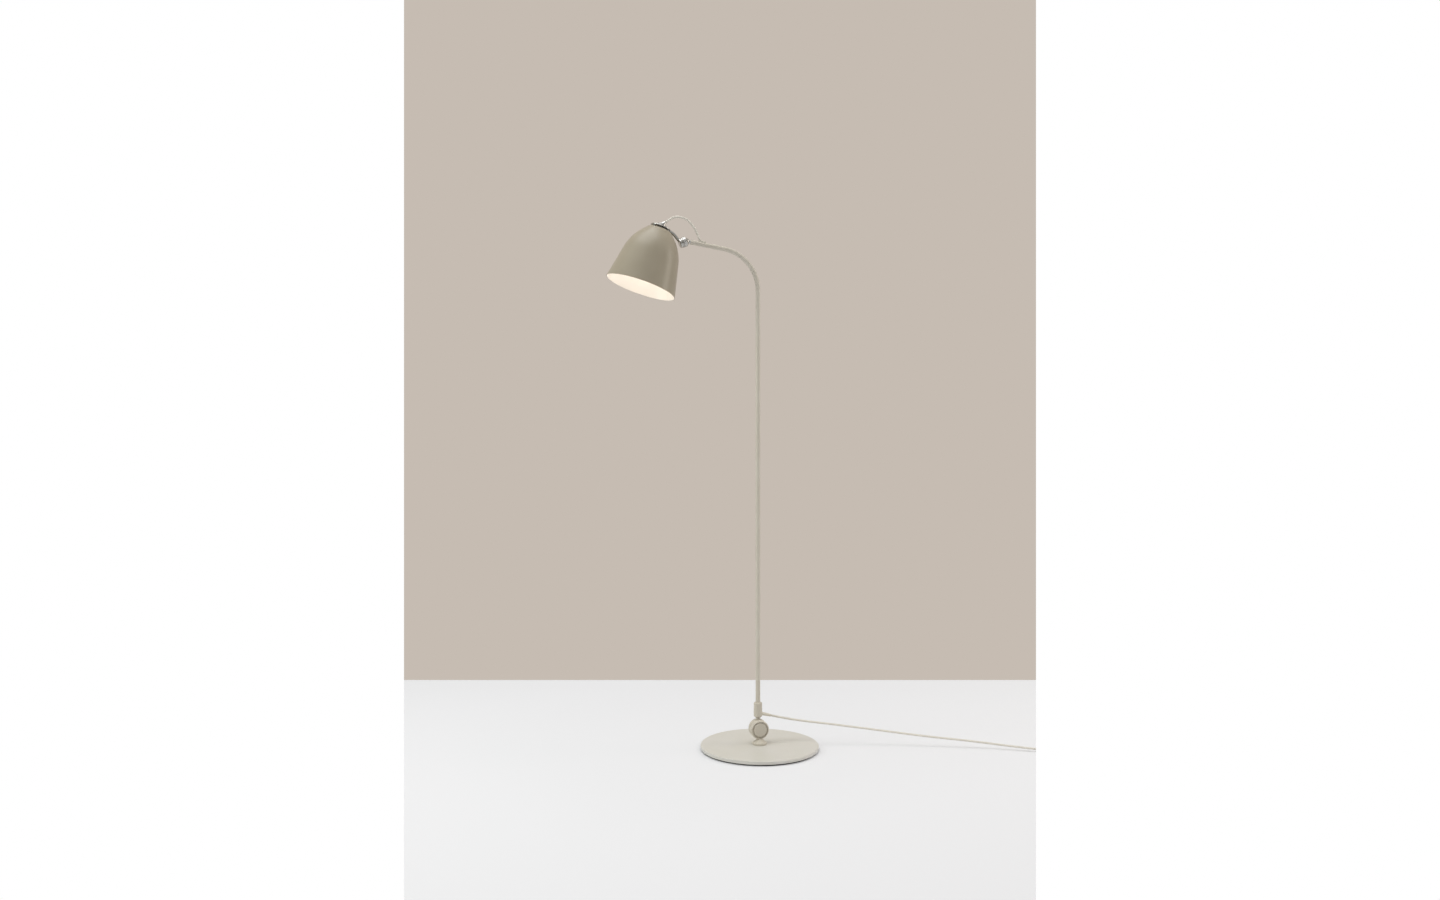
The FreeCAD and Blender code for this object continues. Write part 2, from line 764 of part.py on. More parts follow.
def ball_stud():
    """The ball, its neck and the spigot that holds it in the end of the arm."""
    neck_start = -math.sqrt(ball_radius ** 2 - ball_neck_radius ** 2)
    flange = tube_radius - 0.1
    end = -ball_flange_end - ball_spigot_length
    body = turned(
        (0, -ball_neck_end), (ball_neck_radius, -ball_neck_end), (ball_neck_radius, neck_start),
        (0, neck_start))
    body = body.fuse(Part.makeSphere(ball_radius))
    body = body.fuse(turned(
        (0, end), (tube_bore - SEAT - 0.6, end), (tube_bore - SEAT, end + 0.6),
        (tube_bore - SEAT, -ball_flange_end),
        (flange, -ball_flange_end), (flange, -ball_neck_end - 0.2), (flange - 0.4, -ball_neck_end),
        (0, -ball_neck_end)))
    return placed(body.removeSplitter(), facing(ball_centre, arm_direction))


# ---------------------------------------------------------------- ball joint
def pressure_pad():
    """Nylon pad behind the ball, between it and the cup."""
    inner, outer = ball_radius + RUN, ball_radius + RUN + pad_shell
    a = pad_half_angle
    pad = turned(
        (0, inner), (0, outer), arc_step((0, 0), outer, 90, 90 - a),
        (inner * math.sin(math.radians(a)), inner * math.cos(math.radians(a))),
        arc_step((0, 0), inner, 90 - a, 90))
    return placed(pad, facing(ball_centre, swivel_axis * -1))


def socket_cup():
    """The chromed cup behind the ball, in the socket's frame, whose Z points at the arm."""
    r, f = cup_radius, cup_flange_radius
    g, b = cup_groove_radius, cup_back_radius
    cup = turned(
        (0, cup_back), (b - 2.5, cup_back), arc_step((b - 2.5, cup_back + 2.5), 2.5, -90, 0),
        (b, cup_groove_end), (g, cup_groove_end), (g, cup_flange_end), (f - 0.5, cup_flange_end),
        (f, cup_flange_end + 0.5), (f, cup_shoulder - 0.5), (f - 0.5, cup_shoulder), (r, cup_shoulder),
        (r, cup_front), (0, cup_front))
    return cup.cut(Part.makeSphere(ball_radius + 2 * RUN + pad_shell))


def clamp_ring():
    """Fluted ring, screwed on the cup, whose lip holds the ball in."""
    seat = ball_radius + RUN + 0.01
    mouth = math.radians(ring_mouth_angle)
    lip = (seat * math.sin(mouth), seat * math.cos(mouth))
    back_angle = math.degrees(math.asin(ring_seat_back / seat))
    seat_back = (seat * math.cos(math.radians(back_angle)), ring_seat_back)
    r = cup_radius + RUN
    ring = turned(
        lip, (ring_nose_radius, lip[1] + 0.1), (ring_radius, ring_nose_start),
        (ring_radius, ring_back + 0.4),
        (ring_radius - 0.4, ring_back), (r, ring_back), (r, ring_seat_back), seat_back,
        arc_step((0, 0), seat, back_angle, 90 - ring_mouth_angle))
    flute = rod(ring_flute_radius, ring_back - 1, ring_nose_start - 0.8)
    flute.translate(V(ring_radius + 0.35, 0, 0))
    cutters = ring_of(flute, [i * 360.0 / ring_flutes for i in range(ring_flutes)])
    return placed(ring.cut(cutters), SOCKET)


def head_lead():
    """The loop of lead from the cap's gland over to the hood on the arm."""
    start = HEAD.multVec(gland_mouth + gland_axis * lead_joint)
    end = lead_entry + entry_direction * lead_joint
    first = HEAD.multVec(gland_foot + gland_axis * (gland_end + 16.0))
    last = end + entry_direction * 15.0
    over = [ball_centre + V(x, 0, z) for x, z in loop_route]
    points = [start, first] + over + [last, end]
    radii = easy_radii(points)
    wire = round_route(points, radii)
    shape = swept(wire, lead_radius)
    report_tube("head_lead", shape, wire, lead_radius, radii)
    return shape



# ---------------------------------------------------------------- head
def bell_outline(inset):
    """Points and arcs down the bell, moved inwards by a wall: its crown's edge first, the rim last."""
    t, s = math.radians(shoulder_angle), math.radians(skirt_angle)
    crown_centre = (crown_flat_radius, crown_height - shoulder_radius)
    r1 = shoulder_radius - inset
    end1 = (crown_centre[0] + r1 * math.sin(t), crown_centre[1] + r1 * math.cos(t))
    run = (end1[0] + shoulder_run * math.cos(t), end1[1] - shoulder_run * math.sin(t))
    r2 = side_radius - inset
    side_centre = (run[0] - r2 * math.sin(t), run[1] - r2 * math.cos(t))
    end2 = (side_centre[0] + r2 * math.sin(s), side_centre[1] + r2 * math.cos(s))
    drop = end2[1] + shade_depth
    rim = (end2[0] + drop / math.tan(s), -shade_depth)
    return {
        "crown": (crown_flat_radius, crown_height - inset),
        "shoulder": arc_step(crown_centre, r1, 90, 90 - shoulder_angle),
        "run": run,
        "side": arc_step(side_centre, r2, 90 - shoulder_angle, 90 - skirt_angle),
        "back_side": arc_step(side_centre, r2, 90 - skirt_angle, 90 - shoulder_angle),
        "back_shoulder": arc_step(crown_centre, r1, 90 - shoulder_angle, 90),
        "rim": rim,
        "side_end": end2,
        "shoulder_end": end1,
    }


def shade():
    """Spun bell with an open mouth, vent holes in its flat crown and a rounded edge."""
    out, inn = bell_outline(0), bell_outline(shade_wall)
    lip = ((out["rim"][0] + inn["rim"][0]) / 2, -shade_depth - shade_wall * 0.35)
    body = turned(
        (0, crown_height), out["crown"], out["shoulder"], out["run"], out["side"], out["rim"],
        (lip, inn["rim"]), inn["side_end"], inn["back_side"], inn["shoulder_end"], inn["back_shoulder"],
        (0, crown_height - shade_wall))
    body = body.cut(rod(nipple_radius + 0.3, crown_height - 3, crown_height + 1))
    vent = rod(vent_radius, crown_height - 3, crown_height + 1)
    vent.translate(V(vent_circle, 0, 0))
    body = body.cut(ring_of(vent, [10 + i * 360.0 / vent_count for i in range(vent_count)]))
    screw_hole = rod(post_screw_radius + 0.1, crown_height - 3, crown_height + 1)
    screw_hole.translate(V(post_circle, 0, 0))
    body = body.cut(ring_of(screw_hole, post_angles))
    return placed(body, HEAD)


def stem():
    """Round bar from the cap's rim down to the cup."""
    points = [(x, 0, z) for x, z in stem_route]
    return swept(round_route(points, easy_radii(points)), stem_radius)


def head_bracket():
    """One chromed casting: the cap over the crown, the stem and the cup of the ball joint."""
    r, e, low = cap_radius, cap_edge_round, -cap_thickness
    cap = turned((0, low), (r - e, low), ((r, low + cap_thickness / 2), (r - e, 0)), (0, 0))
    cup = placed(socket_cup(), facing((ball_from_axis, 0, -ball_below_cap), socket_axis))
    bar = stem().cut(placed(rod(cup_radius - 1, cup_front - 4, cup_front + 30),
                            facing((ball_from_axis, 0, -ball_below_cap), socket_axis)))
    cavity = Part.makeSphere(ball_radius + 2 * RUN + pad_shell, V(ball_from_axis, 0, -ball_below_cap))
    body = cap.fuse(bar).fuse(cup).removeSplitter().cut(cavity)
    body = body.cut(rod(nipple_radius + SEAT, low - 6, 6))
    hole = rod(post_screw_radius + SEAT, low - 1, -0.6)
    hole.translate(V(post_circle, 0, 0))
    return placed(body.cut(ring_of(hole, post_angles)), HEAD)


def cap_posts():
    """Three spacers that hold the cap clear of the crown."""
    post = pipe(post_radius, post_screw_radius + 0.1, crown_height, -cap_thickness)
    post.translate(V(post_circle, 0, 0))
    return [placed(p, HEAD) for p in ring_of(post, post_angles)]


def post_screws():
    """Screws from inside the shade, through the crown and the posts, into the cap."""
    low = crown_height - shade_wall
    screw = rod(post_screw_radius, low, -1.0)
    head = turned((0, low - post_screw_head_height),
                  (post_screw_head_radius - 1, low - post_screw_head_height),
                  (post_screw_head_radius, low - post_screw_head_height + 1),
                  (post_screw_head_radius, low), (0, low))
    slot = Part.makeBox(2 * post_screw_head_radius, 0.7, 0.9,
                        V(-post_screw_head_radius, -0.35, low - post_screw_head_height - 0.1))
    screw = screw.fuse(head).removeSplitter().cut(slot)
    screw.translate(V(post_circle, 0, 0))
    return [placed(s, HEAD) for s in ring_of(screw, post_angles)]


def gland_bore():
    """The way the lead takes through the gland, in the head's frame."""
    slope = Part.makeCylinder(lead_radius + lead_play, gland_end + 2, gland_foot, gland_axis)
    return slope.fuse(rod(lead_radius + lead_play, -2, gland_axis_height)).fuse(
        Part.makeSphere(lead_radius + lead_play, gland_foot))


def cap_boss():
    """Turned cover on top of the cap, over the nipple's nut."""
    r, h = boss_radius, boss_height
    shell = turned((0, 0), (r, 0), (r, h - 1.5), arc_step((r - 1.5, h - 1.5), 1.5, 0, 90), (0, h))
    shell = shell.cut(rod(r - boss_wall, -1, h - boss_wall - 0.6))
    seat = Part.makeCylinder(gland_root_radius + SEAT, 12, gland_foot + gland_axis * gland_start,
                             gland_axis)
    return placed(shell.cut(seat).cut(gland_bore()), HEAD)


def cable_gland():
    """Conical nozzle, leaning towards the arm, that grips the lead."""
    start, end = gland_start, gland_end
    cone = turned((0, start), (gland_root_radius, start), (gland_root_radius, start + 2.8),
                  (gland_tip_radius, end - 0.8), (gland_tip_radius - 0.5, end), (0, end))
    cone = placed(cone, facing(gland_foot, gland_axis))
    cone = cone.cut(gland_bore())
    keep_out = rod(nipple_nut_radius + 0.2, -1, nipple_nut_height + 0.1)
    return placed(cone.cut(keep_out).cut(rod(nipple_radius + 0.1, -1, nipple_top + 0.1)), HEAD)


def nipple():
    return placed(pipe(nipple_radius, nipple_bore_radius, nipple_bottom, nipple_top), HEAD)


def nipple_nuts():
    """The slotted nut on top of the cap, and the nut above the lamp holder."""
    top = pipe(nipple_nut_radius, nipple_radius + SEAT, 0, nipple_nut_height)
    low = pipe(holder_nut_radius, nipple_radius + SEAT, holder_top, holder_top + holder_nut_height)
    for angle in (0, 90):
        slot = Part.makeBox(2 * nipple_nut_radius, 1.2, 1.0,
                            V(-nipple_nut_radius, -0.6, nipple_nut_height - 1.0))
        top = top.cut(placed(slot, around_z(angle)))
    return [placed(top, HEAD), placed(low, HEAD)]


def head_inner_lead():
    """The lead from the gland's mouth down the nipple to the lamp holder."""
    low = nipple_bottom + 1.0
    points = [gland_mouth, gland_foot, V(0, 0, low)]
    wire = round_route(points, [easy_radii(points)[0] * 0.8])
    return placed(swept(wire, lead_radius), HEAD)


def holder_cup():
    """Top half of the lamp holder, screwed on the nipple."""
    r, w = holder_radius, holder_wall
    top = holder_top
    cup = turned((0, top), (r - 5, top), arc_step((r - 5, top - 5), 5, 90, 0), (r, holder_split),
                 (0, holder_split))
    hollow = turned((0, top - 2.2), (r - 5, top - 2.2), arc_step((r - 5, top - 5), 5 - w, 55, 0),
                    (r - w, holder_split - 1), (0, holder_split - 1))
    return placed(cup.cut(hollow).cut(rod(nipple_radius + SEAT, top - 4, top + 1)), HEAD)


def holder_skirt():
    """Lower half of the lamp holder."""
    r, w, low = holder_radius, holder_wall, holder_bottom
    skirt = turned((r - w - 2, low), (r - 0.8, low), (r, low + 0.8), (r, holder_split - 0.02),
                   (r - w, holder_split - 0.02), (r - w, low + w), (r - w - 2, low + w))
    return placed(skirt, HEAD)


def holder_core():
    """Insulating core that carries the contacts."""
    r = holder_radius - holder_wall - 0.1
    top = holder_split + 1.5
    core = rod(r, holder_core_bottom, top).cut(rod(shell_radius + SEAT, holder_core_bottom - 1, shell_top))
    for side in (-1, 1):
        hole = rod(1.2, shell_top - 1, top + 1)
        hole.translate(V(side * 5.5, 0, 0))
        core = core.cut(hole)
    return placed(core, HEAD)


def holder_contacts():
    """Threaded brass shell and the centre contact."""
    shell = pipe(shell_radius, shell_radius - shell_wall, holder_core_bottom + 1, shell_top - 1.0)
    centre = rod(3.0, bulb_cap_top + bulb_tip_height + 0.02, shell_top)
    return [placed(shell, HEAD), placed(centre, HEAD)]


def bulb_cap():
    """Screw cap of the bulb: a shell with its thread as rings, and the tip on top."""
    r = bulb_cap_radius
    steps = []
    z = bulb_cap_top - 3.0
    while z > bulb_cap_bottom + 5.0:
        steps += [((r + 0.45, z - 0.7), (r, z - 1.4)), (r - 0.35, z - 2.1), (r, z - 2.8)]
        z -= 2.8
    cap = turned((0, bulb_cap_top + bulb_tip_height), (bulb_tip_radius, bulb_cap_top + bulb_tip_height),
                 (bulb_tip_radius, bulb_cap_top), (4.6, bulb_cap_top), (r, bulb_cap_top - 3.0), *steps,
                 (r, bulb_cap_bottom + 1.5), (r + 0.8, bulb_cap_bottom), (0, bulb_cap_bottom))
    return placed(cap, HEAD)


def bulb_glass():
    """Round opal bulb, open at its neck where it is cemented on the cap."""
    R, n, t = bulb_radius, bulb_neck_radius, glass_wall
    def skin(radius, neck):
        """Where the sphere and the neck's flare meet, for the outside or the inside."""
        angle = math.degrees(math.acos((neck + 3.2) / radius))
        return angle
    a, b = skin(R, n), skin(R - t, n - t)
    out_meet = (n + 3.2, bulb_centre + R * math.sin(math.radians(a)))
    glass = turned(
        (n - t, bulb_cap_bottom), (n, bulb_cap_bottom), (n, bulb_cap_bottom - 1.5), out_meet,
        arc_step((0, bulb_centre), R, a, -90), (0, bulb_centre - R + t),
        arc_step((0, bulb_centre), R - t, -90, b), (n - t, bulb_cap_bottom - 1.5))
    return placed(glass, HEAD)


# ---------------------------------------------------------------- foot switch on the lead
def lead_channel(length):
    """A bore along local X at the lead's height, a little wider than the lead."""
    return Part.makeCylinder(lead_radius + lead_play, length, V(0, 0, switch_lead_height), X_AXIS)


def in_switch(shape):
    moved = shape.copy()
    moved.translate(V(switch_middle, 0, 0))
    return moved


def switch_base():
    body = stadium(switch_length, switch_width, 0, switch_base_height)
    w = switch_wall
    body = body.cut(stadium(switch_length - 2 * w, switch_width - 2 * w, w, switch_base_height + 1))
    body = body.fuse(switch_posts(rod(switch_post_radius, w / 2, switch_base_height)))
    body = body.fuse(pipe(button_spring_radius + 1.4, button_spring_radius + GAP, w / 2,
                          w + 2.0)).removeSplitter()
    body = body.cut(switch_posts(rod(switch_screw_radius + 0.2, -1, switch_base_height + 1)))
    body = body.cut(switch_posts(rod(switch_screw_head_radius + 0.3, -1, 2.4)))
    return placed(in_switch(body).cut(lead_channel(switch_far)).cut(relief_seats()), SWITCH)


def switch_posts(shape):
    """Copies of a shape at the switch's two screws."""
    copies = []
    for side in (-1, 1):
        copy = shape.copy()
        copy.translate(V(side * switch_screw_offset[0], switch_screw_offset[1], 0))
        copies.append(copy)
    return copies


def relief_seats():
    """Where the sleeves of the lead go into the switch's two ends."""
    seats = []
    for start in (switch_relief_length - 0.1, switch_relief_length + switch_length - switch_wall - 1):
        seats.append(Part.makeCylinder(relief_root_radius - 0.6 + SEAT, switch_wall + 1.1,
                                       V(start, 0, switch_lead_height), X_AXIS))
    return seats


def switch_cover():
    low = switch_base_height
    top = low + switch_cover_height
    w = switch_wall
    body = stadium(switch_length, switch_width, low, top)
    body = rounded(body, switch_edge_round, lambda e: lies_at(e, top))
    body = body.cut(stadium(switch_length - 2 * w, switch_width - 2 * w, low - 1, top - w - 0.6))
    body = body.fuse(switch_posts(rod(switch_post_radius, low, top - w))).removeSplitter()
    body = body.cut(switch_posts(rod(switch_screw_radius + SEAT, low - 1, low + 5.2)))
    body = body.cut(rod(button_radius + GAP, low, top + 1))
    return placed(in_switch(body), SWITCH)


def switch_top():
    return switch_base_height + switch_cover_height


def switch_button():
    """Round push button with a flange that stops under the cover."""
    low = switch_top() - switch_wall - 0.6 - GAP - button_flange_height
    top = switch_top() + button_proud
    r = button_radius
    body = turned(
        (0, low), (button_flange_radius, low), (button_flange_radius, low + button_flange_height),
        (r, low + button_flange_height), (r, top - 1.6), arc_step((r - 1.6, top - 1.6), 1.6, 0, 90),
        (0, top))
    return placed(in_switch(body), SWITCH)


def button_spring():
    low = switch_wall + 0.02
    top = switch_top() - switch_wall - 0.6 - GAP - button_flange_height - 0.05
    sleeve = pipe(button_spring_radius, button_spring_radius - button_spring_wall, low, top)
    return placed(in_switch(sleeve), SWITCH)


def switch_screws():
    screw = rod(switch_screw_head_radius, 0.5, 2.3).fuse(
        rod(switch_screw_radius, 2.3, switch_base_height + 5)).removeSplitter()
    return [placed(in_switch(copy), SWITCH) for copy in switch_posts(screw)]


def switch_reliefs():
    """A tapered sleeve at each end of the switch."""
    root, tip = relief_root_radius - 0.6, relief_tip_radius - 0.2
    length = switch_relief_length
    sleeve = turned((0, -switch_wall), (root, -switch_wall), (root, 0.5), (tip, length), (0, length))
    sleeve = sleeve.cut(rod(lead_radius + lead_play, -5, length + 5))
    sleeves = []
    for start, way in ((length, -1), (length + switch_length, 1)):
        sleeves.append(placed(sleeve, SWITCH.multiply(facing((start, 0, switch_lead_height), (way, 0, 0)))))
    return sleeves


# ---------------------------------------------------------------- lead on the floor
def in_floor_frame(frame, x, height):
    return frame.multVec(V(x, 0, height))


def lead_span():
    """From the collar's relief, nearly straight through the air, down into the switch."""
    start = relief_tip + exit_direction * lead_joint
    approach = in_floor_frame(SWITCH, -switch_approach, switch_lead_height)
    inside = in_floor_frame(SWITCH, switch_relief_length + switch_wall + lead_inside, switch_lead_height)
    return free_lead("lead_span", [start] + span_route + [approach, inside])


def lead_link():
    """From the switch round to the coil."""
    inside = in_floor_frame(SWITCH, switch_far - switch_relief_length - switch_wall - lead_inside,
                            switch_lead_height)
    tip = in_floor_frame(SWITCH, switch_far + 6.0, switch_lead_height)
    end = (coil_start[0], coil_start[1] - lead_diameter, coil_first_height)
    return free_lead("lead_link", [inside, tip] + link_route + [end])


def coil_points():
    """Points a quarter turn apart along the coil's middle line, with their headings.

    The spiral goes in and out again by one pitch a turn, and climbs a layer in the half turn in which
    it reverses."""
    def radius_at(turn):
        stride = coil_layer_turns + 0.5
        layer, into = divmod(turn + 0.25, stride)
        half = coil_pitch * (coil_layer_turns + 0.5)
        share = into / stride
        inward = int(layer) % 2 == 0
        moved = share * half if inward else half - share * half
        return coil_outer_radius + 0.25 * coil_pitch - moved

    def height_at(turn):
        height = coil_first_height
        for climb in range(coil_layers - 1):
            start = (climb + 1) * coil_layer_turns + climb * 0.5
            share = min(1.0, max(0.0, (turn - start) / 0.5))
            height += coil_pitch * (0.5 - 0.5 * math.cos(math.pi * share))
        return height

    total = coil_layers * coil_layer_turns + (coil_layers - 1) * 0.5
    steps = round(total * 4)

    def place(turn):
        a = 2 * math.pi * turn
        r = radius_at(turn)
        return V(coil_centre[0] + r * math.cos(a), coil_centre[1] + r * math.sin(a), height_at(turn))

    def heading(turn):
        if turn <= 0 or turn >= total:
            return V(0, 1, 0)
        small = 0.02
        return (place(min(total, turn + small)) - place(max(0.0, turn - small))).normalize()

    return [(place(i / 4), heading(i / 4)) for i in range(steps + 1)]


def arc_through(start, heading, end):
    """The arc that leaves start along heading and reaches end."""
    chord = end - start
    side = chord - heading * chord.dot(heading)
    if side.Length < 1e-6:
        return Part.LineSegment(start, end).toShape()
    centre = start + side * (chord.dot(chord) / (2 * side.dot(chord)))
    radius = (centre - start).Length
    middle = centre + ((start - centre) + (end - centre)).normalize() * radius
    return Part.Arc(start, middle, end).toShape()


def biarc(start, start_heading, end, end_heading):
    """Two tangent arcs from one point and heading to another."""
    v = end - start
    t = start_heading + end_heading
    k = 2 * (1 - start_heading.dot(end_heading))
    if k < 1e-9:
        d = v.dot(v) / (4 * v.dot(end_heading))
    else:
        d = (-v.dot(t) + math.sqrt(v.dot(t) ** 2 + k * v.dot(v))) / k
    joint = (start + end + (start_heading - end_heading) * d) * 0.5
    first = arc_through(start, start_heading, joint)
    return [first, arc_through(end, end_heading * -1, joint)]


def least_gap(points, away):
    """The least distance between points at least this many places apart along a line, less the tube."""
    best = 1e9
    for i, p in enumerate(points):
        for q in points[i + away:]:
            best = min(best, p.distanceToPoint(q))
    return best - lead_diameter


def lead_coil():
    """The put-away length: a neat coil, its turns as one unbroken tube."""
    knots = coil_points()
    edges = [Part.LineSegment(V(coil_start[0], coil_start[1] - lead_diameter, coil_first_height),
                              knots[0][0]).toShape()]
    for (a, ta), (b, tb) in zip(knots, knots[1:]):
        edges += biarc(a, ta, b, tb)
    last = knots[-1][0]
    edges.append(Part.LineSegment(last, last + V(0, lead_diameter, 0)).toShape())
    wire = Part.Wire(edges)
    shape = swept(wire, lead_radius)
    report_tube("lead_coil", shape, wire, lead_radius,
                [min(e.Curve.Radius for e in edges if hasattr(e.Curve, "Radius"))])
    samples = [p for e in edges for p in e.discretize(9)[:-1]]
    print("lead_coil turns %.2f, least gap to itself %.2f mm" % ((len(knots) - 1) / 4,
                                                                 least_gap(samples, 30)))
    return shape, last


def coil_tie():
    """A flat strap round the bundle of turns."""
    inner = coil_outer_radius - coil_pitch * (coil_layer_turns + 0.25) - lead_radius - tie_play
    outer = coil_outer_radius + coil_pitch * 0.25 + lead_radius + tie_play
    low = coil_first_height - lead_radius - tie_play
    high = coil_first_height + coil_pitch * (coil_layers - 1) + lead_radius + tie_play
    t = tie_thickness
    outside = Part.makeBox(outer - inner + 2 * t, tie_width, high - low + 2 * t,
                           V(inner - t, -tie_width / 2, low - t))
    outside = rounded(outside, 2.4, lambda e: abs(e.BoundBox.YLength - tie_width) < 1e-6)
    inside = Part.makeBox(outer - inner, tie_width + 2, high - low, V(inner, -tie_width / 2 - 1, low))
    inside = rounded(inside, 1.6, lambda e: abs(e.BoundBox.YLength - tie_width - 2) < 1e-6)
    strap = outside.cut(inside)
    return placed(strap, FreeCAD.Placement(V(coil_centre[0], coil_centre[1], 0),
                                           FreeCAD.Rotation(Z_AXIS, tie_turn)))


def lead_tail(coil_end):
    """From the coil's top turn down to the plug."""
    start = coil_end + V(0, lead_diameter, 0)
    tip = in_floor_frame(PLUG, 0, plug_lead_height)
    inside = in_floor_frame(PLUG, plug_relief_length + lead_inside - 1, plug_lead_height)
    return free_lead("lead_tail", [start] + tail_route + [tip, inside])


# ---------------------------------------------------------------- plug
def plug_frame(x):
    return PLUG.multiply(facing((x, 0, plug_lead_height), (1, 0, 0)))


def plug_relief():
    sleeve = turned((0, 0), (plug_relief_tip_radius, 0), (plug_relief_root_radius, plug_relief_length),
                    (0, plug_relief_length))
    return placed(sleeve.cut(rod(lead_radius + lead_play, -1, plug_relief_length + 1)), plug_frame(0))


def plug_body():
    """Flat two-pin plug body, tapering to the pins."""
    x0, x1 = plug_relief_length, plug_relief_length + plug_body_length
    half, nose = plug_body_width / 2, plug_nose_width / 2
    low, high = plug_lead_height - plug_body_height / 2, plug_lead_height + plug_body_height / 2
    ring = [V(x0, -nose / 2, low), V(x0 + 12, -half, low), V(x1, -half + 2.5, low),
            V(x1, half - 2.5, low), V(x0 + 12, half, low), V(x0, nose / 2, low), V(x0, -nose / 2, low)]
    body = Part.Face(Part.makePolygon(ring)).extrude(V(0, 0, high - low))
    body = body.makeFillet(3.0, [e for e in body.Edges if abs(e.BoundBox.ZLength - plug_body_height) < 1e-6])
    body = rounded(body, 2.0, lambda e: lies_at(e, high) or lies_at(e, low))
    entry = Part.makeCylinder(lead_radius + lead_play, 5.2, V(x0 - 0.1, 0, plug_lead_height), X_AXIS)
    body = body.cut(entry)
    for pin in pins():
        body = body.cut(pin)
    return placed(body, PLUG)


def pins():
    """The two pins, in the plug's frame."""
    x = plug_relief_length + plug_body_length
    made = []
    for side in (-1, 1):
        pin = turned((0, -plug_pin_inside), (plug_pin_radius, -plug_pin_inside),
                     (plug_pin_radius, plug_pin_length - 1.2),
                     arc_step((plug_pin_radius - 1.2, plug_pin_length - 1.2), 1.2, 0, 90),
                     (0, plug_pin_length))
        made.append(placed(pin, facing((x, side * plug_pin_spacing / 2, plug_lead_height), (1, 0, 0))))
    return made


def plug_pins():
    return [placed(pin, PLUG) for pin in pins()]


# ---------------------------------------------------------------- everything
def build():
    os.makedirs("parts", exist_ok=True)
    write("base_plate", base_plate())
    write("base_pad", base_pad())
    write("foot", foot())
    write("foot_screw", foot_screw())
    write("foot_washer", foot_washer())
    write("foot_pin", foot_pin())
    write("hinge_cover", hinge_cover())
    write("hinge_bolt", hinge_bolt())
    write("friction_washer", friction_washer())
    write("disc_springs", *disc_springs())
    write("lock_nut", lock_nut())

    write("pole_knuckle", pole_knuckle())
    write("hinge_bush", hinge_bush())
    write("hinge_rear_cover", hinge_rear_cover())
    write("collar", collar())
    write("collar_screws", *collar_screws())
    write("lead_relief", lead_relief())
    write("arm_tube", arm_tube())
    write("lead_hood", lead_hood())
    write("pole_lead", pole_lead())
    write("ball_stud", ball_stud())

    write("pressure_pad", pressure_pad())
    write("head_lead", head_lead())
    write("clamp_ring", clamp_ring())

    write("head_bracket", head_bracket())
    write("shade", shade())
    write("cap_posts", *cap_posts())
    write("post_screws", *post_screws())
    write("cap_boss", cap_boss())
    write("cable_gland", cable_gland())
    write("nipple", nipple())
    write("nipple_nuts", *nipple_nuts())
    write("head_inner_lead", head_inner_lead())
    write("holder_cup", holder_cup())
    write("holder_skirt", holder_skirt())
    write("holder_core", holder_core())
    write("holder_contacts", *holder_contacts())
    write("bulb_cap", bulb_cap())
    write("bulb_glass", bulb_glass())

    write("switch_base", switch_base())
    write("switch_cover", switch_cover())
    write("switch_button", switch_button())
    write("button_spring", button_spring())
    write("switch_screws", *switch_screws())
    write("switch_reliefs", *switch_reliefs())
    write("lead_span", lead_span())
    write("lead_link", lead_link())
    coil, coil_end = lead_coil()
    write("lead_coil", coil)
    write("coil_tie", coil_tie())
    write("lead_tail", lead_tail(coil_end))
    write("plug_relief", plug_relief())
    write("plug_body", plug_body())
    write("plug_pins", *plug_pins())
    for name, point in (("ball_centre", ball_centre), ("lead_entry", lead_entry),
                        ("relief_tip", relief_tip),
                        ("swivel_axis", swivel_axis), ("head_origin", HEAD.Base),
                        ("socket_axis", SOCKET.Rotation.multVec(Z_AXIS))):
        print(name, "%.4f %.4f %.4f" % tuple(point))


build()
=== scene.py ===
import math

import bmesh
import bpy
from mathutils import Matrix, Vector


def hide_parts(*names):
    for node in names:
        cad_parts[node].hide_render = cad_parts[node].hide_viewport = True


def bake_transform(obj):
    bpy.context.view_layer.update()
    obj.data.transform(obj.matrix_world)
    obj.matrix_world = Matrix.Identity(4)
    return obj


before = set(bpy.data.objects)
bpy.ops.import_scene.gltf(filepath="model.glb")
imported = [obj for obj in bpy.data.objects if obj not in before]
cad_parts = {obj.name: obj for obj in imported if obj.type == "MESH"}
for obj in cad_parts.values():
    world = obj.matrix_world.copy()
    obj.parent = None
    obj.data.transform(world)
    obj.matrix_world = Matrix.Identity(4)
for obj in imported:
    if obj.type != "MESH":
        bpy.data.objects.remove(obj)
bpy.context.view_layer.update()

# ---------------------------------------------------------------- sizes, in metres
MM = 0.001
LEAD = 4.5 * MM                      # outer diameter of every lead
HEAD_TILT = math.radians(18.5)       # of the shade's middle line, at rest
HEAD_ORIGIN = Vector((-210.37, 12.4, 1097.79)) * MM
BULB_DEPTH = 112 * MM                # from the head's origin down to the bulb's middle
SHADE_FOCUS = 100 * MM               # from the head's origin down to a point inside the shade's bell


# ---------------------------------------------------------------- camera
PHOTO_WIDTH = 1440
PHOTO_HEIGHT = 900
FOCAL_PIXELS = 1046.0
SENSOR = 36.0
CAMERA_AT = Vector((-617.7, -2130.9, 633.3)) * MM
CAMERA_TURN = math.radians(14.0)     # the photo looks this far to the right of +Y
WALL_DISTANCE = 2.88                 # from the camera: its foot shows as the floor's edge
PICTURE_LEFT = 404                   # the photo's own picture lies between these pixels of its frame
PICTURE_RIGHT = 1036
MASK_MARGIN = 50                     # in pixels, that the white masks reach past the frame
MASK_DISTANCE = 0.06                 # from the camera to the masks
WALL_HEIGHT = 3.0
WALL_HALF_WIDTH = 5.0
FLOOR_HALF = 6.0

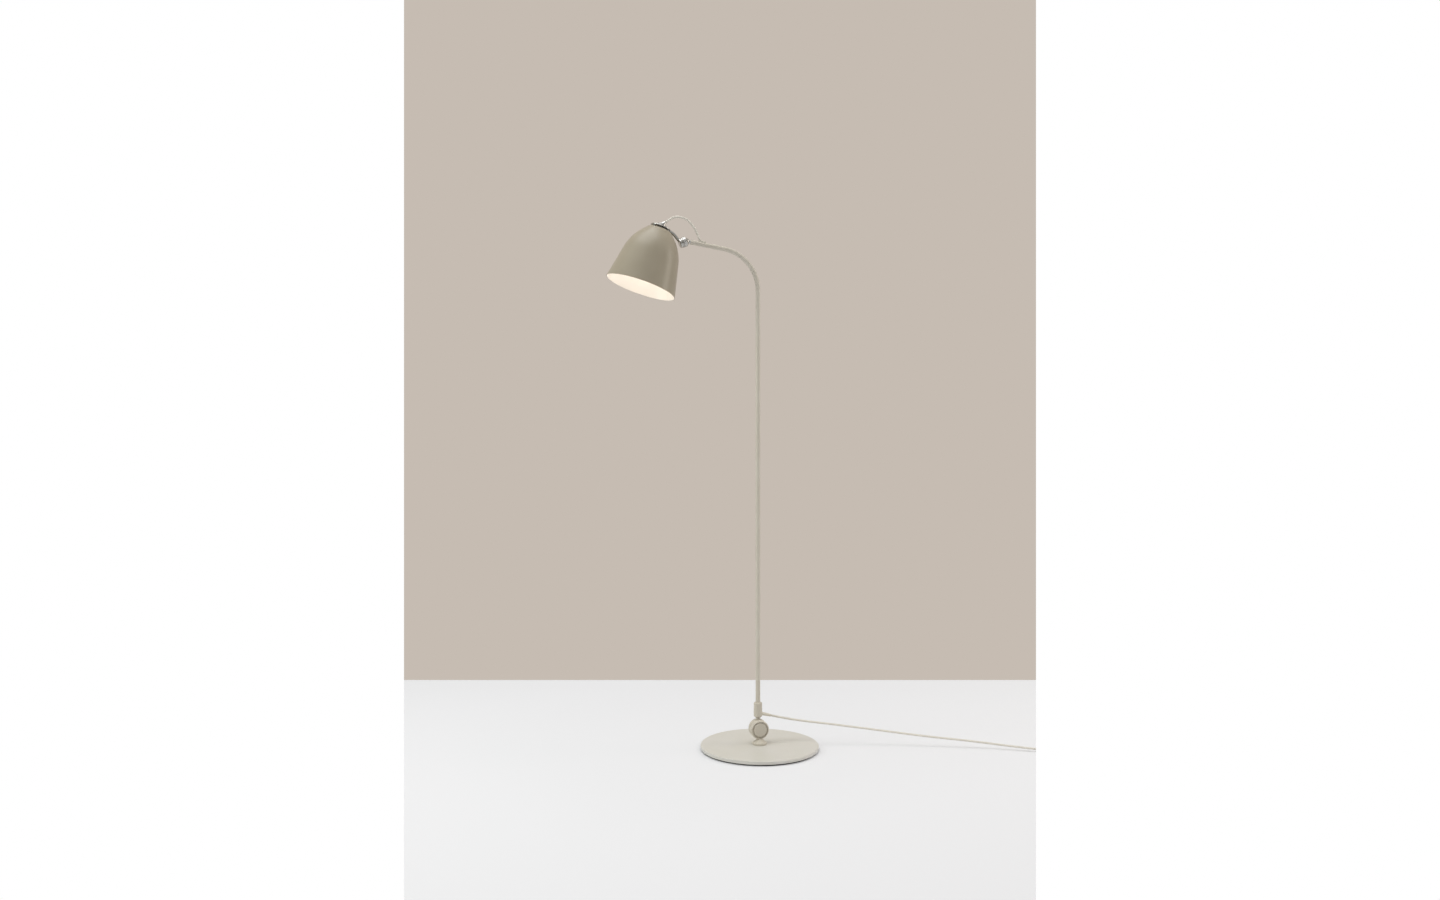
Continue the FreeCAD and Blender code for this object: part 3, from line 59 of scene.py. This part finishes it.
AHEAD = Vector((math.sin(CAMERA_TURN), math.cos(CAMERA_TURN), 0.0))
ACROSS = Vector((math.cos(CAMERA_TURN), -math.sin(CAMERA_TURN), 0.0))


def make_camera():
    data = bpy.data.cameras.new("camera")
    data.sensor_width = SENSOR
    data.lens = SENSOR * FOCAL_PIXELS / PHOTO_WIDTH
    data.clip_start = 0.02
    data.clip_end = 60.0
    camera = bpy.data.objects.new("camera", data)
    camera.location = CAMERA_AT
    camera.rotation_euler = (math.radians(90), 0, -CAMERA_TURN)
    bpy.context.collection.objects.link(camera)
    bpy.context.scene.camera = camera


# ---------------------------------------------------------------- routes of the leads, in mm, as in the part
RELIEF_TIP = (28.24, 12.4, 66.46)
SPAN_ROUTE = [
    RELIEF_TIP,
    (71.0, 12.0, 55.2),
    (150.0, -4.0, 45.1),
    (250.0, -31.0, 32.4),
    (350.0, -66.0, 20.8),
    (440.0, -100.0, 14.0),
    (500.0, -129.0, 8.7),
]
SWITCH_ENTRY = (581.0, -170.3)
SWITCH_HEADING = math.radians(-20.0)
SWITCH_LEAD_HEIGHT = 5.2
SWITCH_POINTS = (-22.0, 26.0, 48.0, 70.0, 102.0)   # along the switch, where the lead runs straight
LINK_ROUTE = [
    (691.8, -204.7, 4.7),
    (705.5, -198.6, 4.3),
    (715.9, -187.8, 3.9),
    (721.5, -173.9, 3.7),
    (721.5, -158.5, 3.7),
]
COIL_START = (721.5, -154.0)
COIL_RADIUS = 32.5
COIL_PITCH = 5.0
COIL_LAYER_TURNS = 2.125
COIL_LAYERS = 4
COIL_HEIGHT = 3.7
COIL_STEPS = 16                      # points of the spline for each turn
TAIL_ROUTE = [
    (721.5, -149.5, 18.7),
    (721.5, -137.0, 18.0),
    (720.6, -124.0, 14.6),
    (718.4, -111.0, 10.0),
    (716.0, -98.0, 7.6),
]
PLUG_ENTRY = (714.0, -82.0)
PLUG_HEADING = math.radians(97.0)
PLUG_LEAD_HEIGHT = 7.2
PLUG_POINTS = (0.0, 14.0, 29.0)
LOOP_ROUTE = [
    (-200.10, 12.4, 1108.24),
    (-187.4, 12.4, 1117.6),
    (-177.5, 12.4, 1121.0),
    (-160.0, 12.4, 1119.5),
    (-145.5, 12.4, 1109.5),
    (-132.1, 12.4, 1088.2),
    (-127.06, 12.4, 1074.11),
]


def along(entry, heading, height, distances):
    return [(entry[0] + d * math.cos(heading), entry[1] + d * math.sin(heading), height) for d in distances]


def coil_points():
    """The coil's turns: a spiral in and out again, climbing a layer in each half turn where it reverses."""
    stride = COIL_LAYER_TURNS + 0.5
    total = COIL_LAYERS * COIL_LAYER_TURNS + (COIL_LAYERS - 1) * 0.5
    centre = (COIL_START[0] - COIL_RADIUS, COIL_START[1])
    points = []
    for i in range(round(total * COIL_STEPS) + 1):
        turn = i / COIL_STEPS
        layer, into = divmod(turn + 0.25, stride)
        half = COIL_PITCH * stride
        moved = into / stride * half
        radius = COIL_RADIUS + 0.25 * COIL_PITCH - (moved if layer % 2 == 0 else half - moved)
        height = COIL_HEIGHT
        for climb in range(COIL_LAYERS - 1):
            start = (climb + 1) * COIL_LAYER_TURNS + climb * 0.5
            share = min(1.0, max(0.0, (turn - start) / 0.5))
            height += COIL_PITCH * (0.5 - 0.5 * math.cos(math.pi * share))
        # a spline with control points on a circle runs a little inside it
        swell = 1 / (0.75 + 0.25 * math.cos(2 * math.pi / COIL_STEPS))
        angle = 2 * math.pi * turn
        reach = radius * swell
        points.append((centre[0] + reach * math.cos(angle), centre[1] + reach * math.sin(angle), height))
    return points


def mains_route():
    switch = along(SWITCH_ENTRY, SWITCH_HEADING, SWITCH_LEAD_HEIGHT, SWITCH_POINTS)
    plug = along(PLUG_ENTRY, PLUG_HEADING, PLUG_LEAD_HEIGHT, PLUG_POINTS)
    return SPAN_ROUTE + switch + LINK_ROUTE + coil_points() + TAIL_ROUTE + plug


def spline_points(route, steps):
    """Points along one smooth spline whose control points are the route's, in metres."""
    curve = bpy.data.curves.new("route", "CURVE")
    curve.dimensions = "3D"
    curve.resolution_u = steps
    spline = curve.splines.new("NURBS")
    spline.points.add(len(route) - 1)
    for point, place in zip(spline.points, route):
        point.co = (*(c * MM for c in place), 1.0)
    spline.order_u = 3
    spline.use_endpoint_u = True
    holder = bpy.data.objects.new("route", curve)
    bpy.context.collection.objects.link(holder)
    bpy.context.view_layer.update()
    mesh = bpy.data.meshes.new_from_object(holder.evaluated_get(bpy.context.evaluated_depsgraph_get()))
    points = [v.co.copy() for v in mesh.vertices]
    bpy.data.objects.remove(holder)
    bpy.data.meshes.remove(mesh)
    return points


def tube_mesh(name, path, radius, sides):
    """A round tube along a path, with flat ends, a steady frame and a UV map: along in metres, and round."""
    mesh = bpy.data.meshes.new(name)
    bm = bmesh.new()
    uv = bm.loops.layers.uv.new("lead")
    tangents = []
    for i in range(len(path)):
        before, after = path[max(0, i - 1)], path[min(len(path) - 1, i + 1)]
        tangents.append((after - before).normalized())
    side = tangents[0].orthogonal().normalized()
    rings, lengths, run = [], [], 0.0
    for i, (place, tangent) in enumerate(zip(path, tangents)):
        if i:
            run += (place - path[i - 1]).length
            side = (tangents[i - 1].rotation_difference(tangent) @ side).normalized()
        side = (side - tangent * side.dot(tangent)).normalized()
        up = tangent.cross(side)
        ring = []
        for k in range(sides):
            a = 2 * math.pi * k / sides
            ring.append(bm.verts.new(place + (side * math.cos(a) + up * math.sin(a)) * radius))
        rings.append(ring)
        lengths.append(run)
    for i in range(len(rings) - 1):
        for k in range(sides):
            n = (k + 1) % sides
            face = bm.faces.new((rings[i][k], rings[i][n], rings[i + 1][n], rings[i + 1][k]))
            face.smooth = True
            for loop, (u, v) in zip(face.loops, ((i, k), (i, k + 1), (i + 1, k + 1), (i + 1, k))):
                loop[uv].uv = (lengths[u], v / sides)
    bm.faces.new(reversed(rings[0]))
    bm.faces.new(rings[-1])
    bmesh.ops.recalc_face_normals(bm, faces=bm.faces)
    bm.to_mesh(mesh)
    bm.free()
    piece = bpy.data.objects.new(name, mesh)
    bpy.context.collection.objects.link(piece)
    return piece


# ---------------------------------------------------------------- materials
def linear(hex_colour):
    """An sRGB hex colour as linear red, green, blue and alpha."""
    def channel(i):
        c = int(hex_colour[i:i + 2], 16) / 255
        return c / 12.92 if c <= 0.04045 else ((c + 0.055) / 1.055) ** 2.4
    return (channel(1), channel(3), channel(5), 1.0)


def add(tree, kind, links=None, **settings):
    """One node: settings name its properties, or its inputs by name; links give sockets for its inputs."""
    node = tree.nodes.new(kind)
    for name, value in settings.items():
        if hasattr(node, name):
            setattr(node, name, value)
        else:
            node.inputs[name.replace("_", " ")].default_value = value
    for name, socket in (links or {}).items():
        tree.links.new(socket, node.inputs[name])
    return node


def material(name, colour, roughness, metallic=0.0, **shader):
    """A material with its main shader set; gives the material, its tree and the shader node."""
    made = bpy.data.materials.new(name)
    made.use_nodes = True
    tree = made.node_tree
    main = tree.nodes["Principled BSDF"]
    main.inputs["Base Color"].default_value = linear(colour)
    main.inputs["Roughness"].default_value = roughness
    main.inputs["Metallic"].default_value = metallic
    for key, value in shader.items():
        main.inputs[key.replace("_", " ")].default_value = value
    return made, tree, main


def blotch(size_mm):
    """The scale of a noise whose blotches are about this many millimetres wide."""
    return 1000.0 / size_mm


def orange_peel(tree, here, shader, roughness):
    """A powder coat's skin: shallow dimples over a millimetre wide, with fine specks, that vary its sheen."""
    peel = add(tree, "ShaderNodeTexNoise", {"Vector": here}, Scale=blotch(1.6), Detail=1.0)
    skin = add(tree, "ShaderNodeBump", {"Height": peel.outputs["Fac"]}, Distance=0.012 * MM)
    speck = add(tree, "ShaderNodeTexNoise", {"Vector": here}, Scale=blotch(0.5), Detail=2.0)
    fine = add(tree, "ShaderNodeBump", {"Height": speck.outputs["Fac"], "Normal": skin.outputs["Normal"]},
               Distance=0.006 * MM)
    sheen = add(tree, "ShaderNodeMapRange", {"Value": peel.outputs["Fac"]}, From_Min=0.3, From_Max=0.7,
                To_Min=roughness - 0.05, To_Max=roughness + 0.06)
    tree.links.new(fine.outputs["Normal"], shader.inputs["Normal"])
    tree.links.new(sheen.outputs["Result"], shader.inputs["Roughness"])


def uneven_tone(tree, here, size_mm, dark, light):
    """A slow drift between two close tones, as thickness and handling give any coat or moulding."""
    drift = add(tree, "ShaderNodeTexNoise", {"Vector": here}, Scale=blotch(size_mm), Detail=3.0)
    share = add(tree, "ShaderNodeMapRange", {"Value": drift.outputs["Fac"]}, From_Min=0.35, From_Max=0.65)
    tone = add(tree, "ShaderNodeMixRGB", {"Fac": share.outputs["Result"]}, Color1=linear(dark),
               Color2=linear(light))
    return tone.outputs["Color"]


def powder_coat(name, light, dark, roughness):
    """Powder-coated steel: an even grey, satin, whose peel breaks up the edges of its highlights."""
    made, tree, main = material(name, light, roughness, Specular_IOR_Level=0.45)
    here = add(tree, "ShaderNodeTexCoord").outputs["Object"]
    tree.links.new(uneven_tone(tree, here, 70.0, dark, light), main.inputs["Base Color"])
    orange_peel(tree, here, main, roughness)
    return made


def two_tone_coat(name, outside_light, outside_dark, inside, roughness):
    """The shade's coats: grey outside, and a pale reflecting coat inside that the bulb makes glow."""
    made, tree, main = material(name, outside_light, roughness, Specular_IOR_Level=0.45)
    own = add(tree, "ShaderNodeTexCoord").outputs      # both outputs stay with the shade when the head moves
    here, normal = own["Object"], own["Normal"]
    outside = uneven_tone(tree, here, 70.0, outside_dark, outside_light)
    # a face whose normal points back to the shade's middle is an inner one
    local = add(tree, "ShaderNodeMapping", {"Vector": here}, vector_type="TEXTURE", Location=HEAD_ORIGIN,
                Rotation=(0, HEAD_TILT, 0))
    lifted = add(tree, "ShaderNodeMapping", {"Vector": local.outputs["Vector"]},
                 Location=(0, 0, SHADE_FOCUS))
    turned = add(tree, "ShaderNodeMapping", {"Vector": normal}, vector_type="TEXTURE",
                 Rotation=(0, HEAD_TILT, 0))
    outward = add(tree, "ShaderNodeVectorMath", {0: lifted.outputs["Vector"], 1: turned.outputs["Vector"]},
                  operation="DOT_PRODUCT")
    inner = add(tree, "ShaderNodeMath", {0: outward.outputs["Value"]}, operation="LESS_THAN")
    inner.inputs[1].default_value = 0.0
    coats = add(tree, "ShaderNodeMixRGB", {"Fac": inner.outputs["Value"], "Color1": outside},
                Color2=linear(inside))
    tree.links.new(coats.outputs["Color"], main.inputs["Base Color"])
    orange_peel(tree, here, main, roughness)
    return made


def plated(name, colour, roughness):
    """Chrome plate on turned brass: a mirror whose reflections waver, with faint polishing haze."""
    made, tree, main = material(name, colour, roughness, 1.0)
    here = add(tree, "ShaderNodeTexCoord").outputs["Object"]
    haze = add(tree, "ShaderNodeTexNoise", {"Vector": here}, Scale=blotch(6.0), Detail=4.0, Roughness=0.6)
    dull = add(tree, "ShaderNodeMapRange", {"Value": haze.outputs["Fac"]}, From_Min=0.35, From_Max=0.75,
               To_Min=roughness, To_Max=roughness + 0.09)
    tree.links.new(dull.outputs["Result"], main.inputs["Roughness"])
    wave = add(tree, "ShaderNodeTexNoise", {"Vector": here}, Scale=blotch(9.0), Detail=2.0)
    waver = add(tree, "ShaderNodeBump", {"Height": wave.outputs["Fac"]}, Distance=0.01 * MM)
    tree.links.new(waver.outputs["Normal"], main.inputs["Normal"])
    return made


def turned_metal(name, colour, roughness):
    """Turned and plated metal: fine tool marks that stretch its highlights, and a slightly uneven plate."""
    made, tree, main = material(name, colour, roughness, 1.0)
    here = add(tree, "ShaderNodeTexCoord").outputs["Object"]
    stretched = add(tree, "ShaderNodeMapping", {"Vector": here}, Scale=(0.15, 1.0, 1.0))
    marks = add(tree, "ShaderNodeTexNoise", {"Vector": stretched.outputs["Vector"]}, Scale=blotch(0.35),
                Detail=2.0)
    cut = add(tree, "ShaderNodeBump", {"Height": marks.outputs["Fac"]}, Distance=0.008 * MM)
    tree.links.new(cut.outputs["Normal"], main.inputs["Normal"])
    plate = add(tree, "ShaderNodeTexNoise", {"Vector": here}, Scale=blotch(4.0), Detail=3.0)
    dull = add(tree, "ShaderNodeMapRange", {"Value": plate.outputs["Fac"]}, From_Min=0.3, From_Max=0.7,
               To_Min=roughness - 0.08, To_Max=roughness + 0.1)
    tree.links.new(dull.outputs["Result"], main.inputs["Roughness"])
    return made


def moulded(name, light, dark, roughness, grain_mm=0.8, depth_mm=0.01):
    """Moulded plastic or rubber: the fine grain of a spark-cut mould, which softens its highlights."""
    made, tree, main = material(name, light, roughness)
    here = add(tree, "ShaderNodeTexCoord").outputs["Object"]
    tree.links.new(uneven_tone(tree, here, 14.0, dark, light), main.inputs["Base Color"])
    grain = add(tree, "ShaderNodeTexNoise", {"Vector": here}, Scale=blotch(grain_mm), Detail=2.0)
    skin = add(tree, "ShaderNodeBump", {"Height": grain.outputs["Fac"]}, Distance=depth_mm * MM)
    tree.links.new(skin.outputs["Normal"], main.inputs["Normal"])
    dull = add(tree, "ShaderNodeMapRange", {"Value": grain.outputs["Fac"]}, From_Min=0.3, From_Max=0.7,
               To_Min=roughness - 0.04, To_Max=roughness + 0.06)
    tree.links.new(dull.outputs["Result"], main.inputs["Roughness"])
    return made


def extruded_pvc(name, light, dark):
    """Round PVC flex: smooth, with faint lengthwise marks of its die; its UV map runs along it in metres."""
    made, tree, main = material(name, light, 0.38, Specular_IOR_Level=0.5)
    here = add(tree, "ShaderNodeTexCoord").outputs["UV"]
    stretched = add(tree, "ShaderNodeMapping", {"Vector": here}, Scale=(12.0, 9.0, 1.0))
    marks = add(tree, "ShaderNodeTexNoise", {"Vector": stretched.outputs["Vector"]}, Scale=1.0, Detail=3.0)
    tone = add(tree, "ShaderNodeMixRGB", {"Fac": marks.outputs["Fac"]}, Color1=linear(dark),
               Color2=linear(light))
    tree.links.new(tone.outputs["Color"], main.inputs["Base Color"])
    drawn = add(tree, "ShaderNodeBump", {"Height": marks.outputs["Fac"]}, Distance=0.01 * MM)
    tree.links.new(drawn.outputs["Normal"], main.inputs["Normal"])
    return made


def opal_glass(name):
    """Opal glass with the lamp lit behind it: an even warm glow, a little cloudy."""
    made, tree, main = material(name, "#fff8ea", 0.25, Specular_IOR_Level=0.5)
    main.inputs["Emission Color"].default_value = linear("#fff2e0")
    main.inputs["Emission Strength"].default_value = 0.6
    here = add(tree, "ShaderNodeTexCoord").outputs["Object"]
    tree.links.new(uneven_tone(tree, here, 18.0, "#fff3dd", "#fffaf0"), main.inputs["Base Color"])
    return made


MATERIALS = {}


def make_materials():
    m = MATERIALS
    m["pebble_coat"] = powder_coat("pebble_grey_powder_coat", "#d2ccbf", "#cdc6b8", 0.36)
    # the base plate's coat is a lighter, greyer copy of the pebble grey one: painted top light and painted
    # reflection of the pale surround on its upward face
    m["pale_coat_painted_top_light"] = powder_coat("pale_grey_powder_coat_painted_top_light", "#d8d6d0", "#d4d2ca", 0.36)
    # the shade's outside grey is a darker copy of the pebble grey coat: painted shade on its upright wall;
    # the pale inside coat is its own colour
    m["lampshade_coat_painted_shade"] = two_tone_coat("two_tone_shade_coat", "#a39a88", "#9e9582", "#f3eee6", 0.33)
    m["black_rubber"] = moulded("black_rubber_pad", "#1c1b1a", "#151413", 0.75, 1.5, 0.03)
    m["chrome"] = plated("bright_chrome_plate", "#c4c3c0", 0.07)
    m["zinc"] = turned_metal("zinc_plated_steel", "#a8a8a4", 0.34)
    m["nylon"] = moulded("natural_nylon", "#e4e0d2", "#ddd8c8", 0.5)
    m["ivory_plastic"] = moulded("ivory_abs", "#e2ddd0", "#dcd6c8", 0.34, 0.9, 0.008)
    m["hood_plastic"] = moulded("clear_grey_nylon", "#c4bfb2", "#b8b2a4", 0.4, 0.9, 0.008)
    m["holder_plastic"] = moulded("white_pbt", "#ece7da", "#e6e0d2", 0.4)
    m["brass"] = turned_metal("nickelled_brass", "#c9b07a", 0.3)
    m["flex"] = extruded_pvc("ivory_pvc_flex", "#e8e4da", "#e1dcd1")
    m["opal"] = opal_glass("lit_opal_glass")


NODE_FINISHES = {
    "pebble_coat": ("foot", "pole_knuckle", "hinge_cover", "hinge_rear_cover", "collar", "arm_tube"),
    "pale_coat_painted_top_light": ("base_plate",),
    "lampshade_coat_painted_shade": ("shade",),
    "black_rubber": ("base_pad",),
    "chrome": ("ball_stud", "clamp_ring", "head_bracket", "cap_boss", "cable_gland"),
    "zinc": ("foot_screw", "foot_washer", "foot_pin", "hinge_bolt", "disc_springs", "lock_nut",
             "collar_screws",
             "button_spring", "switch_screws", "cap_posts", "post_screws", "nipple", "nipple_nuts"),
    "nylon": ("hinge_bush", "friction_washer", "pressure_pad"),
    "ivory_plastic": ("lead_relief", "switch_base", "switch_cover", "switch_button", "switch_reliefs",
                      "plug_body",
                      "plug_relief", "coil_tie"),
    "hood_plastic": ("lead_hood",),
    "holder_plastic": ("holder_cup", "holder_skirt", "holder_core"),
    "brass": ("holder_contacts", "bulb_cap", "plug_pins"),
    "flex": ("pole_lead", "head_inner_lead"),
    "opal": ("bulb_glass",),
}


def finish_nodes():
    for finish, names in NODE_FINISHES.items():
        for name in names:
            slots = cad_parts[name].data.materials
            slots.clear()
            slots.append(MATERIALS[finish])


# ---------------------------------------------------------------- leads
def mains_lead():
    path = spline_points(mains_route(), 4)
    lead = tube_mesh("mains_lead", path, LEAD / 2, 14)
    lead.data.materials.append(MATERIALS["flex"])
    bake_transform(lead)
    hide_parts("lead_span", "lead_link", "lead_coil", "lead_tail")


def head_lead():
    """The loop over the joint, from the cap's gland to the hood on the arm."""
    path = spline_points(LOOP_ROUTE, 10)
    lead = tube_mesh("head_loop_lead", path, LEAD / 2, 18)
    lead.data.materials.append(MATERIALS["flex"])
    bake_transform(lead)
    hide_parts("head_lead")


# ---------------------------------------------------------------- stage
def plain(name, colour, glow=0.0, matt=True, one_sided=False):
    """A stage material: matt, glowing to camera and mirrors, or both; one-sided is clear from behind."""
    made = bpy.data.materials.new(name)
    made.use_nodes = True
    tree = made.node_tree
    tree.nodes.clear()
    ray = add(tree, "ShaderNodeLightPath").outputs
    seen = add(tree, "ShaderNodeMath", {0: ray["Is Camera Ray"], 1: ray["Is Glossy Ray"]},
               operation="MAXIMUM")
    level = add(tree, "ShaderNodeMath", {0: seen.outputs["Value"]}, operation="MULTIPLY")
    level.inputs[1].default_value = glow
    lit = add(tree, "ShaderNodeEmission", {"Strength": level.outputs["Value"]}, Color=linear(colour))
    body = add(tree, "ShaderNodeBsdfDiffuse", Color=linear(colour if matt else "#000000"))
    shader = add(tree, "ShaderNodeAddShader", {0: lit.outputs[0], 1: body.outputs[0]}).outputs[0]
    if one_sided:
        clear = add(tree, "ShaderNodeBsdfTransparent")
        back = add(tree, "ShaderNodeNewGeometry").outputs["Backfacing"]
        shader = add(tree, "ShaderNodeMixShader", {0: back, 1: shader, 2: clear.outputs[0]}).outputs[0]
    add(tree, "ShaderNodeOutputMaterial", {"Surface": shader})
    return made


def sheet_of(name, corners, finish):
    mesh = bpy.data.meshes.new(name)
    mesh.from_pydata([tuple(c) for c in corners], [], [(0, 1, 2, 3)])
    mesh.materials.append(finish)
    made = bpy.data.objects.new(name, mesh)
    bpy.context.collection.objects.link(made)
    return made


FLOOR_GLOW = 0.02                    # what the floor adds to its matt light, to read as the photo's pale one


def make_stage():
    floor_colour, wall_colour = "#ebecf0", "#c6bcb2"
    reach = FLOOR_HALF
    sheet_of("floor", [(-reach, -reach, 0), (reach, -reach, 0), (reach, reach, 0), (-reach, reach, 0)],
             plain("pale_floor", floor_colour, FLOOR_GLOW))
    foot = Vector((CAMERA_AT.x, CAMERA_AT.y, 0)) + AHEAD * WALL_DISTANCE
    up = Vector((0, 0, WALL_HEIGHT))
    wide = ACROSS * WALL_HALF_WIDTH
    wall = sheet_of("wall", [foot - wide, foot + wide, foot + wide + up, foot - wide + up],
                    plain("plain_wall", wall_colour, 1.0, matt=False, one_sided=True))
    wall.visible_shadow = False
    wall.visible_diffuse = False
    white = plain("white_border", "#ffffff", 1.0, matt=False, one_sided=True)
    centre = PHOTO_WIDTH / 2
    over = PHOTO_HEIGHT / 2 + MASK_MARGIN
    bands = (("border_left", -MASK_MARGIN, PICTURE_LEFT),
             ("border_right", PICTURE_RIGHT, PHOTO_WIDTH + MASK_MARGIN))
    for name, first, last in bands:
        corners = []
        for u, v in ((first, over), (last, over), (last, -over), (first, -over)):
            pixel = MASK_DISTANCE / FOCAL_PIXELS
            corners.append(CAMERA_AT + AHEAD * MASK_DISTANCE + ACROSS * ((u - centre) * pixel)
                           + Vector((0, 0, -v * pixel)))
        mask = sheet_of(name, corners, white)
        for ray in ("shadow", "diffuse", "glossy", "transmission", "volume_scatter"):
            setattr(mask, "visible_" + ray, False)


def area_light(name, at, towards, size, power, colour="#ffffff"):
    data = bpy.data.lights.new(name, "AREA")
    data.shape = "RECTANGLE"
    data.size, data.size_y = size
    data.energy = power
    data.color = linear(colour)[:3]
    light = bpy.data.objects.new(name, data)
    light.location = at
    light.rotation_euler = (Vector(towards) - Vector(at)).to_track_quat("-Z", "Y").to_euler()
    bpy.context.collection.objects.link(light)
    return light


def make_light():
    world = bpy.data.worlds.new("studio")
    bpy.context.scene.world = world
    world.use_nodes = True
    tree = world.node_tree
    back = tree.nodes["Background"]
    back.inputs["Color"].default_value = linear("#fbf9f5")
    # bright overhead and dim at the horizon: chrome shows dark bands, and upright faces are the darker ones
    seen = add(tree, "ShaderNodeTexCoord").outputs["Generated"]
    height = add(tree, "ShaderNodeSeparateXYZ", {"Vector": seen}).outputs["Z"]
    level = add(tree, "ShaderNodeMapRange", {"Value": height}, From_Min=0.05, From_Max=0.9, To_Min=0.26,
                To_Max=0.80)
    # the camera itself sees a plain pale surround
    camera_ray = add(tree, "ShaderNodeLightPath").outputs["Is Camera Ray"]
    pale = add(tree, "ShaderNodeMath", {0: camera_ray}, operation="MULTIPLY")
    pale.inputs[1].default_value = 0.8
    shown = add(tree, "ShaderNodeMath", {0: level.outputs["Result"], 1: pale.outputs["Value"]},
                operation="MAXIMUM")
    tree.links.new(shown.outputs["Value"], back.inputs["Strength"])
    area_light("overhead", (-0.5, -0.2, 3.0), (0, 0, 0), (1.8, 1.8), 24.5)
    area_light("left_box", (-2.4, -0.2, 1.3), (0, 0, 0.7), (0.7, 1.8), 14.0, "#f6fbf2")
    area_light("right_box", (2.2, -0.4, 1.3), (0, 0, 0.7), (0.7, 1.8), 12.0, "#fff6ea")
    bulb = bpy.data.lights.new("bulb", "POINT")
    bulb.energy = 0.07
    bulb.shadow_soft_size = 18 * MM  # inside the glass
    bulb.color = linear("#fff0e2")[:3]
    lit = bpy.data.objects.new("bulb_light", bulb)
    head = Matrix.Translation(HEAD_ORIGIN) @ Matrix.Rotation(HEAD_TILT, 4, "Y")
    lit.location = head @ Vector((0, 0, -BULB_DEPTH))
    bpy.context.collection.objects.link(lit)


# ---------------------------------------------------------------- make it all
make_camera()
make_materials()
mains_lead()
head_lead()
finish_nodes()
make_stage()
make_light()

scene = bpy.context.scene
scene.view_settings.view_transform = "Standard"
